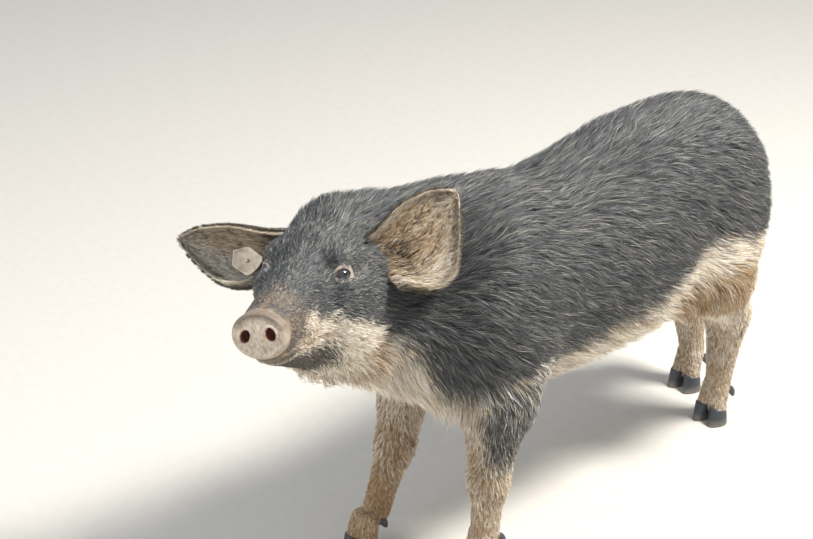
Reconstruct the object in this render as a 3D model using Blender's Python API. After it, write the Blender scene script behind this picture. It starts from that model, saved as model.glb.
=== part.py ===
"""A young swallow-bellied mangalica pig, standing with its head turned to its left, life size.

The body is one rounded field of ellipsoids and tapered bones, meshed, parted by thin cuts and dressed
with flat bristle locks. The pig faces -Y, its left side is +X, and it stands on z = 0.
"""

import math

import bmesh
import bpy
import numpy as np
from mathutils import Matrix, Vector

# Driving sizes, in metres.
GAP = 0.0003
GRID_STEP = 0.0055
CORE_TRIANGLES = 2500
UNDER_LOCKS_FACTOR = 0.02
BARE_WEIGHT = 0.22
COAT_LENGTH = 0.012
CORE_SHARE = 0.45
TIP_RISES = {"throat": 0.024, "poll": 0.006, "belly": 0.011}
LOCK_SEED = 18
LOCK_SINK = 0.0045
LOCK_THICKNESS = 0.0042
LOCK_SPACING = 0.80
LOCK_STATIONS = ((0.0, 0.0), (0.34, 0.30), (0.34, 0.72), (0.32, 1.0))
SHARPEST_BEND = math.radians(48)
TAIL_LOCKS = 7
TAIL_LOCK_LENGTH = 0.052
LOCK_FLOOR = 0.195
LOCK_LENGTHS = {"trunk": 0.100, "neck": 0.086, "head": 0.058, "leg": 0.080, "throat": 0.082}
LOCK_WIDTHS = {"trunk": 0.049, "neck": 0.039, "head": 0.029, "leg": 0.037, "throat": 0.029}
MUZZLE_END = 0.145
CHEST_HALF_WIDTH = 0.112
LEG_SPREAD = 0.078
TOE_SPREAD = 0.0125
CORONET_HEIGHT = 0.023
CORONET_SLOPE = math.radians(16)
HOOF_TOE = 0.021
HOOF_HEEL = 0.015
SNOUT_CENTRE = (0.079, -0.556, 0.460)
SNOUT_HALF_WIDTH = 0.033
SNOUT_HALF_HEIGHT = 0.0272
NOSTRIL_PLACE = (0.0145, -0.002, 0.001)
NOSTRIL_TILT = 0.0022
LIP_DROP = 0.0041
LIP_RADIUS = 0.0036
MOUTH_RADIUS = 0.0020
HEAD_YAW = math.radians(28)
HEAD_LIFT = math.radians(12)
HEAD_ROLL = math.radians(4.5)
EYE_RADIUS = 0.0115
EYE_PLACE = (0.0407, 0.1398, 0.0378)
EYE_OUT = (0.68, -0.68, 0.24)
LID_RISES = {"upper lid": 0.92, "lower lid": -0.80}
HEAD_END = 0.285
LEG_PARTING = 0.003
SIDE_OF_LEG_BLOCK = 0.16
NECK_END = (0, -0.210, 0.380)
NECK_SLOPE = math.radians(-28.8)
EAR_SUNK = 0.2
EAR_THICKNESS = 0.0046
TAIL_ROUTE = (
    (0.000, 0.325, 0.425),
    (0.000, 0.356, 0.430),
    (0.002, 0.380, 0.414),
    (0.006, 0.391, 0.376),
    (0.013, 0.388, 0.334),
    (0.010, 0.380, 0.294),
    (-0.002, 0.378, 0.266),
)
TAIL_RADII = (0.0131, 0.0118, 0.0100, 0.0084, 0.0069, 0.0055, 0.0032)
TAG_SIZE = (0.036, 0.030, 0.0018)
TAG_PLACE = (2.48, 4.40)
TAG_LIFT = 0.0100
TAG_TURN = math.radians(-28)
TAG_TILT = math.radians(15)
TAG_PIN_RADIUS = 0.0024

# Each ear, in the head's frame: root, direction to the tip, the way its cup faces, how far it curls,
# its reach and its breadth.
EARS = {
    "ear_left": ((0.063, 0.236, 0.052), (0.60, 0.60, 0.50), (0.45, -0.85, 0.20), 0.86, 0.112, 1.13),
    "ear_right": ((-0.074, 0.230, 0.053), (-0.97, 0.02, -0.04), (-0.10, -0.93, 0.25), 1.15, 0.128, 0.88),
}

# Where each foot stands: forward leg pair upright or slanting, hind pair one ahead of the other.
FEET = {
    "front_left": (0.078, -0.204),
    "front_right": (-0.054, -0.286),
    "hind_left": (0.042, 0.318),
    "hind_right": (-0.047, 0.370),
}


def head_axes():
    """Columns are the head's own left, back and up directions in the world."""
    turn = Matrix.Rotation(HEAD_YAW, 3, "Z")
    lift = Matrix.Rotation(-HEAD_LIFT, 3, "X")
    roll = Matrix.Rotation(-HEAD_ROLL, 3, "Y")
    return np.array(turn @ lift @ roll)


HEAD_AXES = head_axes()


def head_point(left, back, up):
    """A place given in the head's frame, measured from the middle of the snout disc."""
    return np.array(SNOUT_CENTRE) + HEAD_AXES @ np.array((left, back, up))


def soft_union(first, second, blend):
    mix = np.clip(0.5 + 0.5 * (second - first) / blend, 0.0, 1.0)
    return second + (first - second) * mix - blend * mix * (1.0 - mix)


def ellipsoid(points, centre, radii):
    offset = points - np.asarray(centre)
    radii = np.asarray(radii)
    scaled = np.linalg.norm(offset / radii, axis=-1)
    slope = np.linalg.norm(offset / radii**2, axis=-1)
    return scaled * (scaled - 1.0) / np.maximum(slope, 1e-9)


def bone(points, start, end, start_radius, end_radius):
    start = np.asarray(start)
    span = np.asarray(end) - start
    along = np.clip((points - start) @ span / (span @ span), 0.0, 1.0)
    nearest = start + along[..., None] * span
    radius = start_radius + (end_radius - start_radius) * along
    return np.linalg.norm(points - nearest, axis=-1) - radius


def trunk_field(points):
    field = ellipsoid(points, (0, -0.135, 0.350), (0.104, 0.150, 0.119))
    for centre, radii in (
        ((0, -0.010, 0.347), (CHEST_HALF_WIDTH, 0.175, 0.122)),
        ((0, 0.100, 0.351), (0.114, 0.165, 0.125)),
        ((0, 0.185, 0.398), (0.101, 0.150, 0.096)),
        ((0, 0.268, 0.402), (0.087, 0.095, 0.088)),
    ):
        field = soft_union(field, ellipsoid(points, centre, radii), 0.03)
    for side in (1, -1):
        shoulder = ellipsoid(points, (side * 0.066, -0.165, 0.350), (0.042, 0.078, 0.105))
        ham = ellipsoid(points, (side * 0.054, 0.274, 0.345), (0.051, 0.076, 0.105))
        field = soft_union(field, shoulder, 0.03)
        field = soft_union(field, ham, 0.03)
    return field


def neck_field(points):
    crest = bone(points, (0, -0.120, 0.420), head_point(0, 0.262, 0.046), 0.056, 0.053)
    throat = bone(points, (0, -0.190, 0.340), head_point(0, 0.235, -0.035), 0.094, 0.056)
    return soft_union(crest, throat, 0.05)


def head_field(points):
    """The head in its own frame: muzzle, bridge, jaw, skull, cheeks, cheekbones and brows."""
    local = (points - np.array(SNOUT_CENTRE)) @ HEAD_AXES
    field = bone(local, (0, 0.022, -0.002), (0, 0.125, 0.004), 0.0265, 0.041)
    field = soft_union(field, bone(local, (0, 0.022, 0.005), (0, 0.165, 0.038), 0.021, 0.036), 0.02)
    field = soft_union(field, ellipsoid(local, (0, 0.208, 0.040), (0.054, 0.064, 0.044)), 0.03)
    field = soft_union(field, bone(local, (0, 0.040, -0.027), (0, 0.160, -0.040), 0.015, 0.038), 0.015)
    for side in (1, -1):
        cheek = ellipsoid(local, (side * 0.036, 0.178, -0.014), (0.031, 0.062, 0.050))
        arch = ellipsoid(local, (side * 0.044, 0.170, 0.022), (0.016, 0.044, 0.018))
        brow = ellipsoid(local, (side * 0.037, 0.158, 0.055), (0.014, 0.024, 0.011))
        field = soft_union(field, cheek, 0.025)
        field = soft_union(field, arch, 0.02)
        field = soft_union(field, brow, 0.015)
    return field


def leg_joints(name):
    """Shoulder or hip, elbow or stifle, knee or hock, fetlock and foot of a leg, from the top down."""
    foot_x, foot_y = FEET[name]
    side = 1 if foot_x > 0 else -1
    if name.startswith("front"):
        return (
            ((side * 0.066, -0.165, 0.310), 0.048),
            ((side * LEG_SPREAD, -0.185, 0.232), 0.040),
            ((0.5 * (side * LEG_SPREAD + foot_x), 0.3 * foot_y - 0.7 * 0.195, 0.125), 0.0205),
            ((foot_x, 0.8 * foot_y - 0.2 * 0.190, 0.056), 0.0175),
        )
    return (
        ((side * 0.056, 0.258, 0.350), 0.058),
        ((side * 0.074, 0.5 * foot_y + 0.075, 0.275), 0.052),
        ((0.4 * side * LEG_SPREAD + 0.6 * foot_x, foot_y - 0.006, 0.176), 0.0250),
        ((foot_x, foot_y + 0.004, 0.058), 0.0175),
    )


def leg_field(points, name):
    joints = leg_joints(name)
    field = None
    for (start, start_radius), (end, end_radius) in zip(joints, joints[1:]):
        piece = bone(points, start, end, start_radius, end_radius)
        field = piece if field is None else soft_union(field, piece, 0.02)
    foot_x, foot_y = FEET[name]
    fetlock = joints[-1][0]
    if name.startswith("hind"):
        hock = joints[2][0]
        heel = (hock[0], hock[1] + 0.014, hock[2] + 0.014)
        field = soft_union(field, ellipsoid(points, heel, (0.012, 0.014, 0.022)), 0.02)
    for side in (1, -1):
        toe = (foot_x + side * TOE_SPREAD, foot_y - 0.008, CORONET_HEIGHT - 0.004)
        root = (foot_x + side * 0.008, foot_y - 0.001, fetlock[2] - 0.008)
        field = soft_union(field, bone(points, root, toe, 0.0125, 0.0108), 0.006)
    return field


def body_field(points):
    field = soft_union(trunk_field(points), neck_field(points), 0.05)
    field = soft_union(field, head_field(points), 0.03)
    for name in FEET:
        field = soft_union(field, leg_field(points, name), 0.03)
    return field


def surface_nets(field, low, step):
    """Quads of the zero level of a sampled field: one vertex in each cell that the level crosses."""
    inside = field < 0
    count = np.array(field.shape)
    cells = tuple(count - 1)
    total = np.zeros(cells + (3,))
    crossings = np.zeros(cells)
    edges = []
    for axis in range(3):
        here = [slice(None)] * 3
        there = [slice(None)] * 3
        here[axis] = slice(0, -1)
        there[axis] = slice(1, None)
        first, second = field[tuple(here)], field[tuple(there)]
        start = np.argwhere(inside[tuple(here)] != inside[tuple(there)])
        before = first[tuple(start.T)]
        after = second[tuple(start.T)]
        point = start.astype(float)
        point[:, axis] += before / (before - after)
        edges.append((axis, start, before < 0))
        others = [other for other in range(3) if other != axis]
        for shift_a in (0, -1):
            for shift_b in (0, -1):
                cell = start.copy()
                cell[:, others[0]] += shift_a
                cell[:, others[1]] += shift_b
                np.add.at(total, tuple(cell.T), point)
                np.add.at(crossings, tuple(cell.T), 1)
    used = crossings > 0
    index = np.full(cells, -1)
    index[used] = np.arange(used.sum())
    vertices = total[used] / crossings[used][:, None] * step + low
    quads = []
    for axis, start, falls in edges:
        one, two = (axis + 1) % 3, (axis + 2) % 3
        corners = []
        for shift_one, shift_two in ((0, 0), (-1, 0), (-1, -1), (0, -1)):
            cell = start.copy()
            cell[:, one] += shift_one
            cell[:, two] += shift_two
            corners.append(index[tuple(cell.T)])
        quad = np.stack(corners, axis=1)
        quads.append(np.where(falls[:, None], quad, quad[:, ::-1]))
    return vertices, np.concatenate(quads)


def gradient(field, points, reach=0.0005):
    slopes = []
    for axis in range(3):
        shift = np.zeros(3)
        shift[axis] = reach
        slopes.append((field(points + shift) - field(points - shift)) / (2 * reach))
    return np.stack(slopes, axis=-1)


def onto_surface(field, points, height=0.0, rounds=3):
    for _ in range(rounds):
        slope = gradient(field, points)
        steepness = np.maximum((slope**2).sum(axis=-1, keepdims=True), 0.05)
        points = points - (field(points) - height)[..., None] * slope / steepness
    return points


def sampled(field, low, high, step):
    count = np.ceil((np.asarray(high) - low) / step).astype(int) + 1
    axes = [low[i] + step * np.arange(count[i]) for i in range(3)]
    values = np.empty(tuple(count))
    for row, x in enumerate(axes[0]):
        y, z = np.meshgrid(axes[1], axes[2], indexing="ij")
        values[row] = field(np.stack([np.full_like(y, x), y, z], axis=-1))
    return values


def coat_depth(points):
    """How far the coat's tips stand above the skin: least on the muzzle and the lower legs."""
    local = (points - np.array(SNOUT_CENTRE)) @ HEAD_AXES
    by_head = np.clip((local[..., 1] - 0.05) / 0.20, 0.0, 1.0) ** 1.5
    by_leg = np.clip((points[..., 2] - 0.07) / 0.18, 0.1, 1.0)
    eye = np.array(EYE_PLACE)
    from_eye = np.linalg.norm(np.abs(local * (1, 0, 0)) + local * (0, 1, 1) - eye, axis=-1)
    by_eye = np.clip((from_eye - 0.012) / 0.04, 0.0, 1.0)
    return COAT_LENGTH * np.minimum(np.minimum(by_head, by_leg), by_eye)


def core_field(points):
    return body_field(points) - CORE_SHARE * coat_depth(points)


def new_object(name, mesh):
    obj = bpy.data.objects.new(name, mesh)
    bpy.context.scene.collection.objects.link(obj)
    return obj


def mesh_object(name, vertices, faces):
    mesh = bpy.data.meshes.new(name)
    mesh.from_pydata([tuple(v) for v in vertices], [], [tuple(f) for f in faces])
    return new_object(name, mesh)


def remove(objects):
    for obj in objects:
        bpy.data.objects.remove(obj, do_unlink=True)


def keep_largest_shell(obj):
    """Drops every closed surface but the largest, by the size of its box."""
    build = bmesh.new()
    build.from_mesh(obj.data)
    unseen = set(build.verts)
    shells = []
    while unseen:
        front = [unseen.pop()]
        shell = list(front)
        while front:
            for edge in front.pop().link_edges:
                for vert in edge.verts:
                    if vert in unseen:
                        unseen.remove(vert)
                        front.append(vert)
                        shell.append(vert)
        shells.append(shell)

    def box_size(shell):
        places = np.array([vert.co for vert in shell])
        return float(np.prod(places.max(axis=0) - places.min(axis=0)))

    shells.sort(key=box_size)
    bmesh.ops.delete(build, geom=[v for shell in shells[:-1] for v in shell], context="VERTS")
    build.to_mesh(obj.data)
    build.free()


def apply_modifiers(obj):
    graph = bpy.context.evaluated_depsgraph_get()
    mesh = bpy.data.meshes.new_from_object(obj.evaluated_get(graph))
    obj.modifiers.clear()
    obj.data = mesh


def boolean(obj, operation, others, solver="MANIFOLD"):
    """Joins or cuts with every one of the others at once; both sides are closed meshes."""
    group = bpy.data.collections.new("tools")
    bpy.context.scene.collection.children.link(group)
    for other in others:
        group.objects.link(other)
    cut = obj.modifiers.new("boolean", "BOOLEAN")
    cut.operation = operation
    cut.operand_type = "COLLECTION"
    cut.collection = group
    cut.solver = solver
    apply_modifiers(obj)
    for other in others:
        group.objects.unlink(other)
    bpy.data.collections.remove(group)


def copy_of(obj, name):
    return new_object(name, obj.data.copy())


def grown(obj, name, distance):
    """A copy with every point moved out along its normal, for cutting a neighbour clear."""
    copy = copy_of(obj, name)
    normals = [vert.normal.copy() for vert in copy.data.vertices]
    for vert, normal in zip(copy.data.vertices, normals):
        vert.co += normal * distance
    return copy


def loft(name, rings):
    """A closed mesh through rings of equal count, capped flat at its ends."""
    count = len(rings[0])
    vertices = [point for ring in rings for point in ring]
    faces = [tuple(range(count))[::-1]]
    for row in range(len(rings) - 1):
        for i in range(count):
            j = (i + 1) % count
            a, b = row * count, (row + 1) * count
            faces.append((a + i, a + j, b + j, b + i))
    last = (len(rings) - 1) * count
    faces.append(tuple(last + i for i in range(count)))
    obj = mesh_object(name, vertices, faces)
    face_out(obj)
    return obj


def face_out(obj):
    build = bmesh.new()
    build.from_mesh(obj.data)
    bmesh.ops.recalc_face_normals(build, faces=build.faces)
    if build.calc_volume(signed=True) < 0:
        bmesh.ops.reverse_faces(build, faces=build.faces)
    build.to_mesh(obj.data)
    build.free()


def tube(name, path, radii, sides=8):
    """A tapered tube along a path."""
    path = [np.asarray(point, dtype=float) for point in path]
    rings = []
    across = None
    for i, point in enumerate(path):
        along = path[min(i + 1, len(path) - 1)] - path[max(i - 1, 0)]
        along = along / np.linalg.norm(along)
        if across is None:
            guide = np.array((1.0, 0.0, 0.0)) if abs(along[0]) < 0.8 else np.array((0, 0, 1.0))
            across = np.cross(along, guide)
        across = across - along * (across @ along)
        across = across / np.linalg.norm(across)
        other = np.cross(along, across)
        ring = []
        for side in range(sides):
            angle = math.tau * side / sides
            ring.append(point + radii[i] * (math.cos(angle) * across + math.sin(angle) * other))
        rings.append(ring)
    return loft(name, rings)


def ball(name, centre, radii, axes, segments, rings):
    """An ellipsoid with its poles along its second axis."""
    build = bmesh.new()
    bmesh.ops.create_uvsphere(build, u_segments=segments, v_segments=rings, radius=1.0)
    turn = Matrix.Rotation(math.radians(90), 4, "X")
    for vert in build.verts:
        local = np.array(turn @ vert.co) * np.array(radii)
        vert.co = np.asarray(centre) + axes @ local
    mesh = bpy.data.meshes.new(name)
    build.to_mesh(mesh)
    build.free()
    obj = new_object(name, mesh)
    face_out(obj)
    return obj


def core_surface():
    low = np.array((-0.160, -0.620, 0.004))
    high = np.array((0.190, 0.430, 0.570))
    vertices, quads = surface_nets(sampled(core_field, low, high, GRID_STEP), low, GRID_STEP)
    return onto_surface(core_field, vertices), quads


def core_object(vertices, quads):
    obj = mesh_object("core", vertices, quads.tolist())
    under_locks = obj.vertex_groups.new(name="under locks")
    local = (vertices - np.array(SNOUT_CENTRE)) @ HEAD_AXES
    covered = blend(local[:, 1], 0.20, 0.32) * blend(vertices[:, 2], 0.18, 0.28)
    covered = BARE_WEIGHT + (1 - BARE_WEIGHT) * covered
    for i, weight in enumerate(covered.tolist()):
        under_locks.add([i], weight, "REPLACE")
    thin = obj.modifiers.new("fewer faces", "DECIMATE")
    thin.ratio = CORE_TRIANGLES / (2 * len(quads))
    thin.use_collapse_triangulate = True
    thin.vertex_group = under_locks.name
    thin.vertex_group_factor = UNDER_LOCKS_FACTOR
    apply_modifiers(obj)
    keep_largest_shell(obj)
    face_out(obj)
    return obj


def blend(value, start, end):
    """0 before the start, 1 after the end, straight between."""
    return np.clip((value - start) / (end - start), 0.0, 1.0)


def on_legs(points):
    """1 on the legs below the line of the belly, 0 on the trunk."""
    nearest = np.min([leg_field(points, name) for name in FEET], axis=0)
    return blend(-nearest, -0.030, -0.012) * blend(-points[..., 2], -0.315, -0.245)


def lie(points, normals):
    """The way the coat lies, along the surface: back over the trunk, down the flanks and the legs."""
    local = (points - np.array(SNOUT_CENTRE)) @ HEAD_AXES
    head = blend(-local[..., 1], -0.36, -0.22)[..., None] * blend(-points[..., 1], 0.12, 0.20)[..., None]
    leg = on_legs(points)[..., None]
    side = np.abs(normals[..., :1])
    trunk = (0.0, 1.0, 0.0) + side * (0.0, 0.0, -0.62)
    skull = HEAD_AXES[:, 1] + side * (0.0, 0.0, -0.30)
    under = blend(-normals[..., 2:], 0.25, 0.7) * blend(-points[..., 1:2], 0.12, 0.2)
    way = trunk * (1 - head) + skull * head + under * (0.0, 0.2, -0.55)
    way = way * (1 - leg) + np.array((0.0, 0.22, -1.0)) * leg
    way = way - normals * (way * normals).sum(axis=-1, keepdims=True)
    return way / np.linalg.norm(way, axis=-1, keepdims=True)


def outward(points):
    slope = gradient(core_field, points)
    return slope / np.linalg.norm(slope, axis=-1, keepdims=True)


def coat_regions(points, normals):
    """Share of each kind of coat at each point; the shares add up to one."""
    local = (points - np.array(SNOUT_CENTRE)) @ HEAD_AXES
    leg = on_legs(points)
    head = blend(-local[..., 1], -0.29, -0.23) * (1 - leg)
    throat = blend(-normals[..., 2], 0.30, 0.65) * blend(-points[..., 1], 0.14, 0.20) * (1 - leg)
    head = head * (1 - throat)
    neck = blend(-points[..., 1], 0.10, 0.20) * (1 - leg) * (1 - throat) * (1 - head)
    trunk = 1 - leg - throat - head - neck
    return {"leg": leg, "throat": throat, "head": head, "neck": neck, "trunk": trunk}


def tip_heights(points, normals, shares):
    """How far above the core each lock's tip ends: most at the throat, the poll and the belly."""
    local = (points - np.array(SNOUT_CENTRE)) @ HEAD_AXES
    poll = blend(local[..., 1], 0.17, 0.22) * blend(local[..., 2], 0.055, 0.08) * shares["head"]
    belly = blend(-normals[..., 2], 0.4, 0.8) * shares["trunk"]
    longer = {"throat": shares["throat"], "poll": poll, "belly": belly}
    return (1 - CORE_SHARE) * coat_depth(points) + sum(TIP_RISES[kind] * longer[kind] for kind in longer)


def lock_roots(surface, ways, lengths, widths, rng):
    """Roots set by dart throwing, further apart along the lie than across it, for each part by itself.

    A root just before a part counts with that part, because its lock comes out of the coat there.
    """
    numbers = part_number(surface + ways * (0.15 * lengths)[:, None])
    chosen = []
    for one in rng.permutation(len(surface)):
        others = [other for other in chosen if numbers[other] == numbers[one]]
        if others:
            gap = surface[others] - surface[one]
            along = (gap @ ways[one]) / (LOCK_SPACING * lengths[one])
            flat = gap - np.outer(gap @ ways[one], ways[one])
            across = np.linalg.norm(flat, axis=1) / widths[one]
            if np.min(along**2 + across**2) < 1:
                continue
        chosen.append(one)
    return chosen


def lock(path, sides, outs, width):
    """A flat lock with a ridge: three-sided rings along its path, widest a third of the way, and a point.

    Each four-cornered face is split along its outer diagonal, so that a twisted lock never crosses itself.
    """
    places = []
    for place, side, out, wide, thick in zip(path[:-1], sides, outs, (0.62, 1.0, 0.66), (1.0, 0.85, 0.55)):
        half = 0.5 * width * wide
        deep = 0.5 * LOCK_THICKNESS * thick
        places += [place + side * half - out * deep, place + out * deep, place - side * half - out * deep]
    places.append(path[-1])
    faces = [(0, 1, 2), (6, 7, 9), (7, 8, 9), (8, 6, 9)]
    for row in (0, 3):
        middle = np.mean(places[row : row + 6], axis=0)
        for i in range(3):
            corners = (row + i, row + (i + 1) % 3, row + 3 + (i + 1) % 3, row + 3 + i)
            a, b, c, d = (places[corner] for corner in corners)
            outer = np.cross(c - a, d - b)
            outer = outer * np.sign(outer @ ((a + b + c + d) / 4 - middle))
            turn = 0 if (a + c - b - d) @ outer > 0 else 1
            e, f, g, h = corners[turn:] + corners[:turn]
            faces += [(e, f, g), (e, g, h)]
    obj = mesh_object("lock", places, faces)
    face_out(obj)
    return obj


def walked(places, lengths, rises, swings):
    """Stations of each lock from its sunk root to its tip, with its sides and outward directions."""
    normals = outward(places)
    paths, sides, outs = [], [], []
    for step, share in LOCK_STATIONS:
        way = lie(places, normals)
        way = way * np.cos(swings) + np.cross(normals, way) * np.sin(swings)
        heights = share * rises if step else np.full(len(places), -LOCK_SINK)
        places = onto_surface(core_field, places + way * (lengths * step)[:, None], heights)
        normals = outward(places)
        paths.append(places)
        outs.append(normals)
        sides.append(np.cross(way, normals))
    return (np.stack(rows, axis=1) for rows in (paths, sides, outs))


def along_paths(paths, shares):
    """Points at the given shares of each path's length."""
    ends = np.cumsum([step for step, _ in LOCK_STATIONS])
    points = np.empty((len(paths), len(shares), 3))
    for axis in range(3):
        for i, path in enumerate(paths):
            points[i, :, axis] = np.interp(shares, ends, path[:, axis])
    return points


def crossings(paths):
    """The share of its length at which each lock passes into another part of the body, or 2."""
    shares = np.linspace(0.0, 1.0, 26)
    numbers = part_number(along_paths(paths, shares))
    passed = numbers != numbers[:, :1]
    return np.where(passed.any(axis=1), shares[passed.argmax(axis=1)], 2.0)


def coat_locks(surface):
    """Flat tapered locks rooted in the core, bent along the lie, overlapping like tiles.

    A lock that would pass far into another part of the body ends before it, or is rooted nearer to it.
    """
    rng = np.random.default_rng(LOCK_SEED)
    surface = surface[surface[:, 2] > LOCK_FLOOR]
    local = (surface - np.array(SNOUT_CENTRE)) @ HEAD_AXES
    surface = surface[local[:, 1] > MUZZLE_END]
    normals = outward(surface)
    shares = coat_regions(surface, normals)
    apart = (np.abs(surface[:, 0]) > 0.016) | (shares["leg"] < 0.3)
    surface, normals = surface[apart], normals[apart]
    shares = {kind: share[apart] for kind, share in shares.items()}
    lengths = sum(shares[kind] * LOCK_LENGTHS[kind] for kind in shares)
    widths = sum(shares[kind] * LOCK_WIDTHS[kind] for kind in shares)
    roots = lock_roots(surface, lie(surface, normals), lengths, widths, rng)
    places, count = surface[roots], len(roots)
    lengths = lengths[roots] * rng.uniform(0.85, 1.15, count)
    widths = widths[roots] * rng.uniform(0.85, 1.15, count)
    rises = tip_heights(surface, normals, shares)[roots] * rng.uniform(0.8, 1.2, count)
    swings = rng.normal(0.0, 0.16, count)[:, None]
    paths, _, _ = walked(places, lengths, rises, swings)
    crossed = crossings(paths)
    moved = (crossed > 0.25) & (crossed < 0.55)
    for i in np.flatnonzero(moved):
        places[i] = along_paths(paths[i : i + 1], [crossed[i] - 0.12])[0, 0]
    shortened = (crossed >= 0.55) & (crossed <= 1.0)
    lengths = np.where(shortened, lengths * (crossed - 0.06), lengths)
    paths, sides, outs = walked(places, lengths, rises, swings)
    ears = np.concatenate([ear_cup(name)[0].reshape(-1, 3) for name in EARS])
    keep_off = np.concatenate([ears[core_field(ears) > -0.002], np.array(TAIL_ROUTE)])
    eyes = np.array([eye_centre(1), eye_centre(-1)])
    clear = nearest_distance(paths, keep_off) > 0.011 + 0.5 * widths
    clear &= nearest_distance(paths, eyes) > 0.020 + 0.5 * widths
    turns = (outs[:, 1:] * outs[:, :-1]).sum(axis=2).min(axis=1)
    steps = np.diff(paths, axis=1)
    steps /= np.linalg.norm(steps, axis=2, keepdims=True)
    bends = (steps[:, 1:] * steps[:, :-1]).sum(axis=2).min(axis=1)
    clear &= (turns > math.cos(SHARPEST_BEND)) & (bends > math.cos(SHARPEST_BEND))
    return [lock(paths[i], sides[i], outs[i], widths[i]) for i in np.flatnonzero(clear)]


def nearest_distance(paths, points):
    """From any point of each path to the nearest of the points."""
    gaps = paths[:, :, None] - points[None, None]
    return np.linalg.norm(gaps, axis=-1).min(axis=(1, 2))


def snout_disc():
    """The flat plate of the nose, its rim a little proud of the muzzle."""
    rings = []
    for back, scale in ((-0.0035, 0.84), (0.000, 0.98), (0.008, 1.0), (0.018, 0.78)):
        ring = []
        for step in range(18):
            angle = math.tau * step / 18
            left = scale * SNOUT_HALF_WIDTH * math.cos(angle)
            ring.append(head_point(left, back, scale * SNOUT_HALF_HEIGHT * math.sin(angle)))
        rings.append(ring)
    return loft("disc", rings)


def nostrils():
    left, back, up = NOSTRIL_PLACE
    made = []
    for side in (1, -1):
        place = head_point(side * left, back, up + side * NOSTRIL_TILT)
        made.append(ball("nostril", place, (0.0058, 0.013, 0.0075), HEAD_AXES, 9, 5))
    return made


def mouth_path(drop=0.0):
    """From the left corner of the mouth, round under the nose, to the right corner, on the skin."""
    guide = (
        (0.046, 0.098, -0.022),
        (0.042, 0.078, -0.029),
        (0.038, 0.055, -0.033),
        (0.031, 0.034, -0.0345),
        (0.018, 0.022, -0.0335),
        (0.000, 0.018, -0.0325),
    )
    whole = list(guide) + [(-left, back, up) for left, back, up in guide[-2::-1]]
    points = np.array([head_point(left, back, up - drop) for left, back, up in whole])
    return onto_surface(body_field, points)


def mouth_tube(name, radius, drop=0.0):
    """A tube along the mouth that thins out towards both corners."""
    path = mouth_path(drop)
    shares = np.linspace(0.0, 1.0, len(path))
    radii = radius * np.interp(shares, (0.0, 0.1, 0.2, 0.8, 0.9, 1.0), (0.3, 0.75, 1.0, 1.0, 0.75, 0.3))
    return tube(name, path, radii, sides=5)


def lips():
    return [mouth_tube("upper lip", LIP_RADIUS, -LIP_DROP), mouth_tube("lower lip", LIP_RADIUS, LIP_DROP)]


def eye_centre(side):
    left, back, up = EYE_PLACE
    return head_point(side * left, back, up)


def eye_axes(side):
    """The eye's own axes: corner to corner, out of the head, and up."""
    out = HEAD_AXES @ (np.array(EYE_OUT) * (side, 1, 1))
    out = out / np.linalg.norm(out)
    along = np.cross(out, HEAD_AXES[:, 2])
    along = along / np.linalg.norm(along)
    return np.stack([along, out, np.cross(along, out)], axis=1)


def lids(side):
    """Two crescents round the eyeball, thick in the middle and thin at the corners."""
    axes = eye_axes(side)
    made = []
    for name, rise in LID_RISES.items():
        path = []
        radii = []
        for step in range(8):
            swing = math.radians(-66 + 132 * step / 7)
            lift = rise * math.cos(swing * 1.36)
            direction = np.array((math.sin(swing), math.cos(swing), lift))
            direction /= np.linalg.norm(direction)
            path.append(eye_centre(side) + axes @ direction * (EYE_RADIUS + 0.0014))
            radii.append(0.0012 + 0.0015 * math.cos(swing * 1.3))
        made.append(tube(name, path, radii, sides=5))
    return made


def eyeball(name, side, extra=0.0):
    size = EYE_RADIUS + extra
    return ball(name, eye_centre(side), (size, size, size), eye_axes(side), 11, 7)


def prism(name, outline, low, high):
    """A closed block: an outline in the XZ plane drawn along Y."""
    rings = [[(x, y, z) for x, z in outline] for y in (low, high)]
    return loft(name, rings)


def box(name, low, high, axes=None, centre=(0, 0, 0)):
    axes = np.eye(3) if axes is None else axes
    corners = []
    for y in (low[1], high[1]):
        corners.append(
            [
                np.asarray(centre) + axes @ np.array((x, y, z))
                for x, z in ((low[0], low[2]), (high[0], low[2]), (high[0], high[2]), (low[0], high[2]))
            ]
        )
    return loft(name, corners)


def head_block(grow=0.0):
    return box("head block", (-0.3, -0.2, -0.3), (0.3, HEAD_END + grow, 0.3), HEAD_AXES, SNOUT_CENTRE)


def neck_block(grow=0.0):
    """All that lies in front of a plane from the withers down to the brisket."""
    axes = np.array(Matrix.Rotation(NECK_SLOPE, 3, "X"))
    return box("neck block", (-0.3, -0.5, -0.3), (0.3, grow, 0.4), axes, NECK_END)


def leg_limits(name):
    """Tops of a leg's block at the middle and at its outer side, and its reach along the trunk."""
    if name.startswith("front"):
        return 0.228, 0.318, -0.40, -0.112
    return 0.246, 0.352, 0.155, 0.50


def leg_block(name, grow=0.0):
    side = 1 if FEET[name][0] > 0 else -1
    inner, outer, low, high = leg_limits(name)
    outline = [
        (side * (LEG_PARTING - grow), -0.05),
        (side * (LEG_PARTING - grow), inner + grow),
        (side * SIDE_OF_LEG_BLOCK, outer + grow),
        (side * 0.25, outer + grow),
        (side * 0.25, -0.05),
    ]
    return prism(name + " block", outline, low - grow, high + grow)


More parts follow.
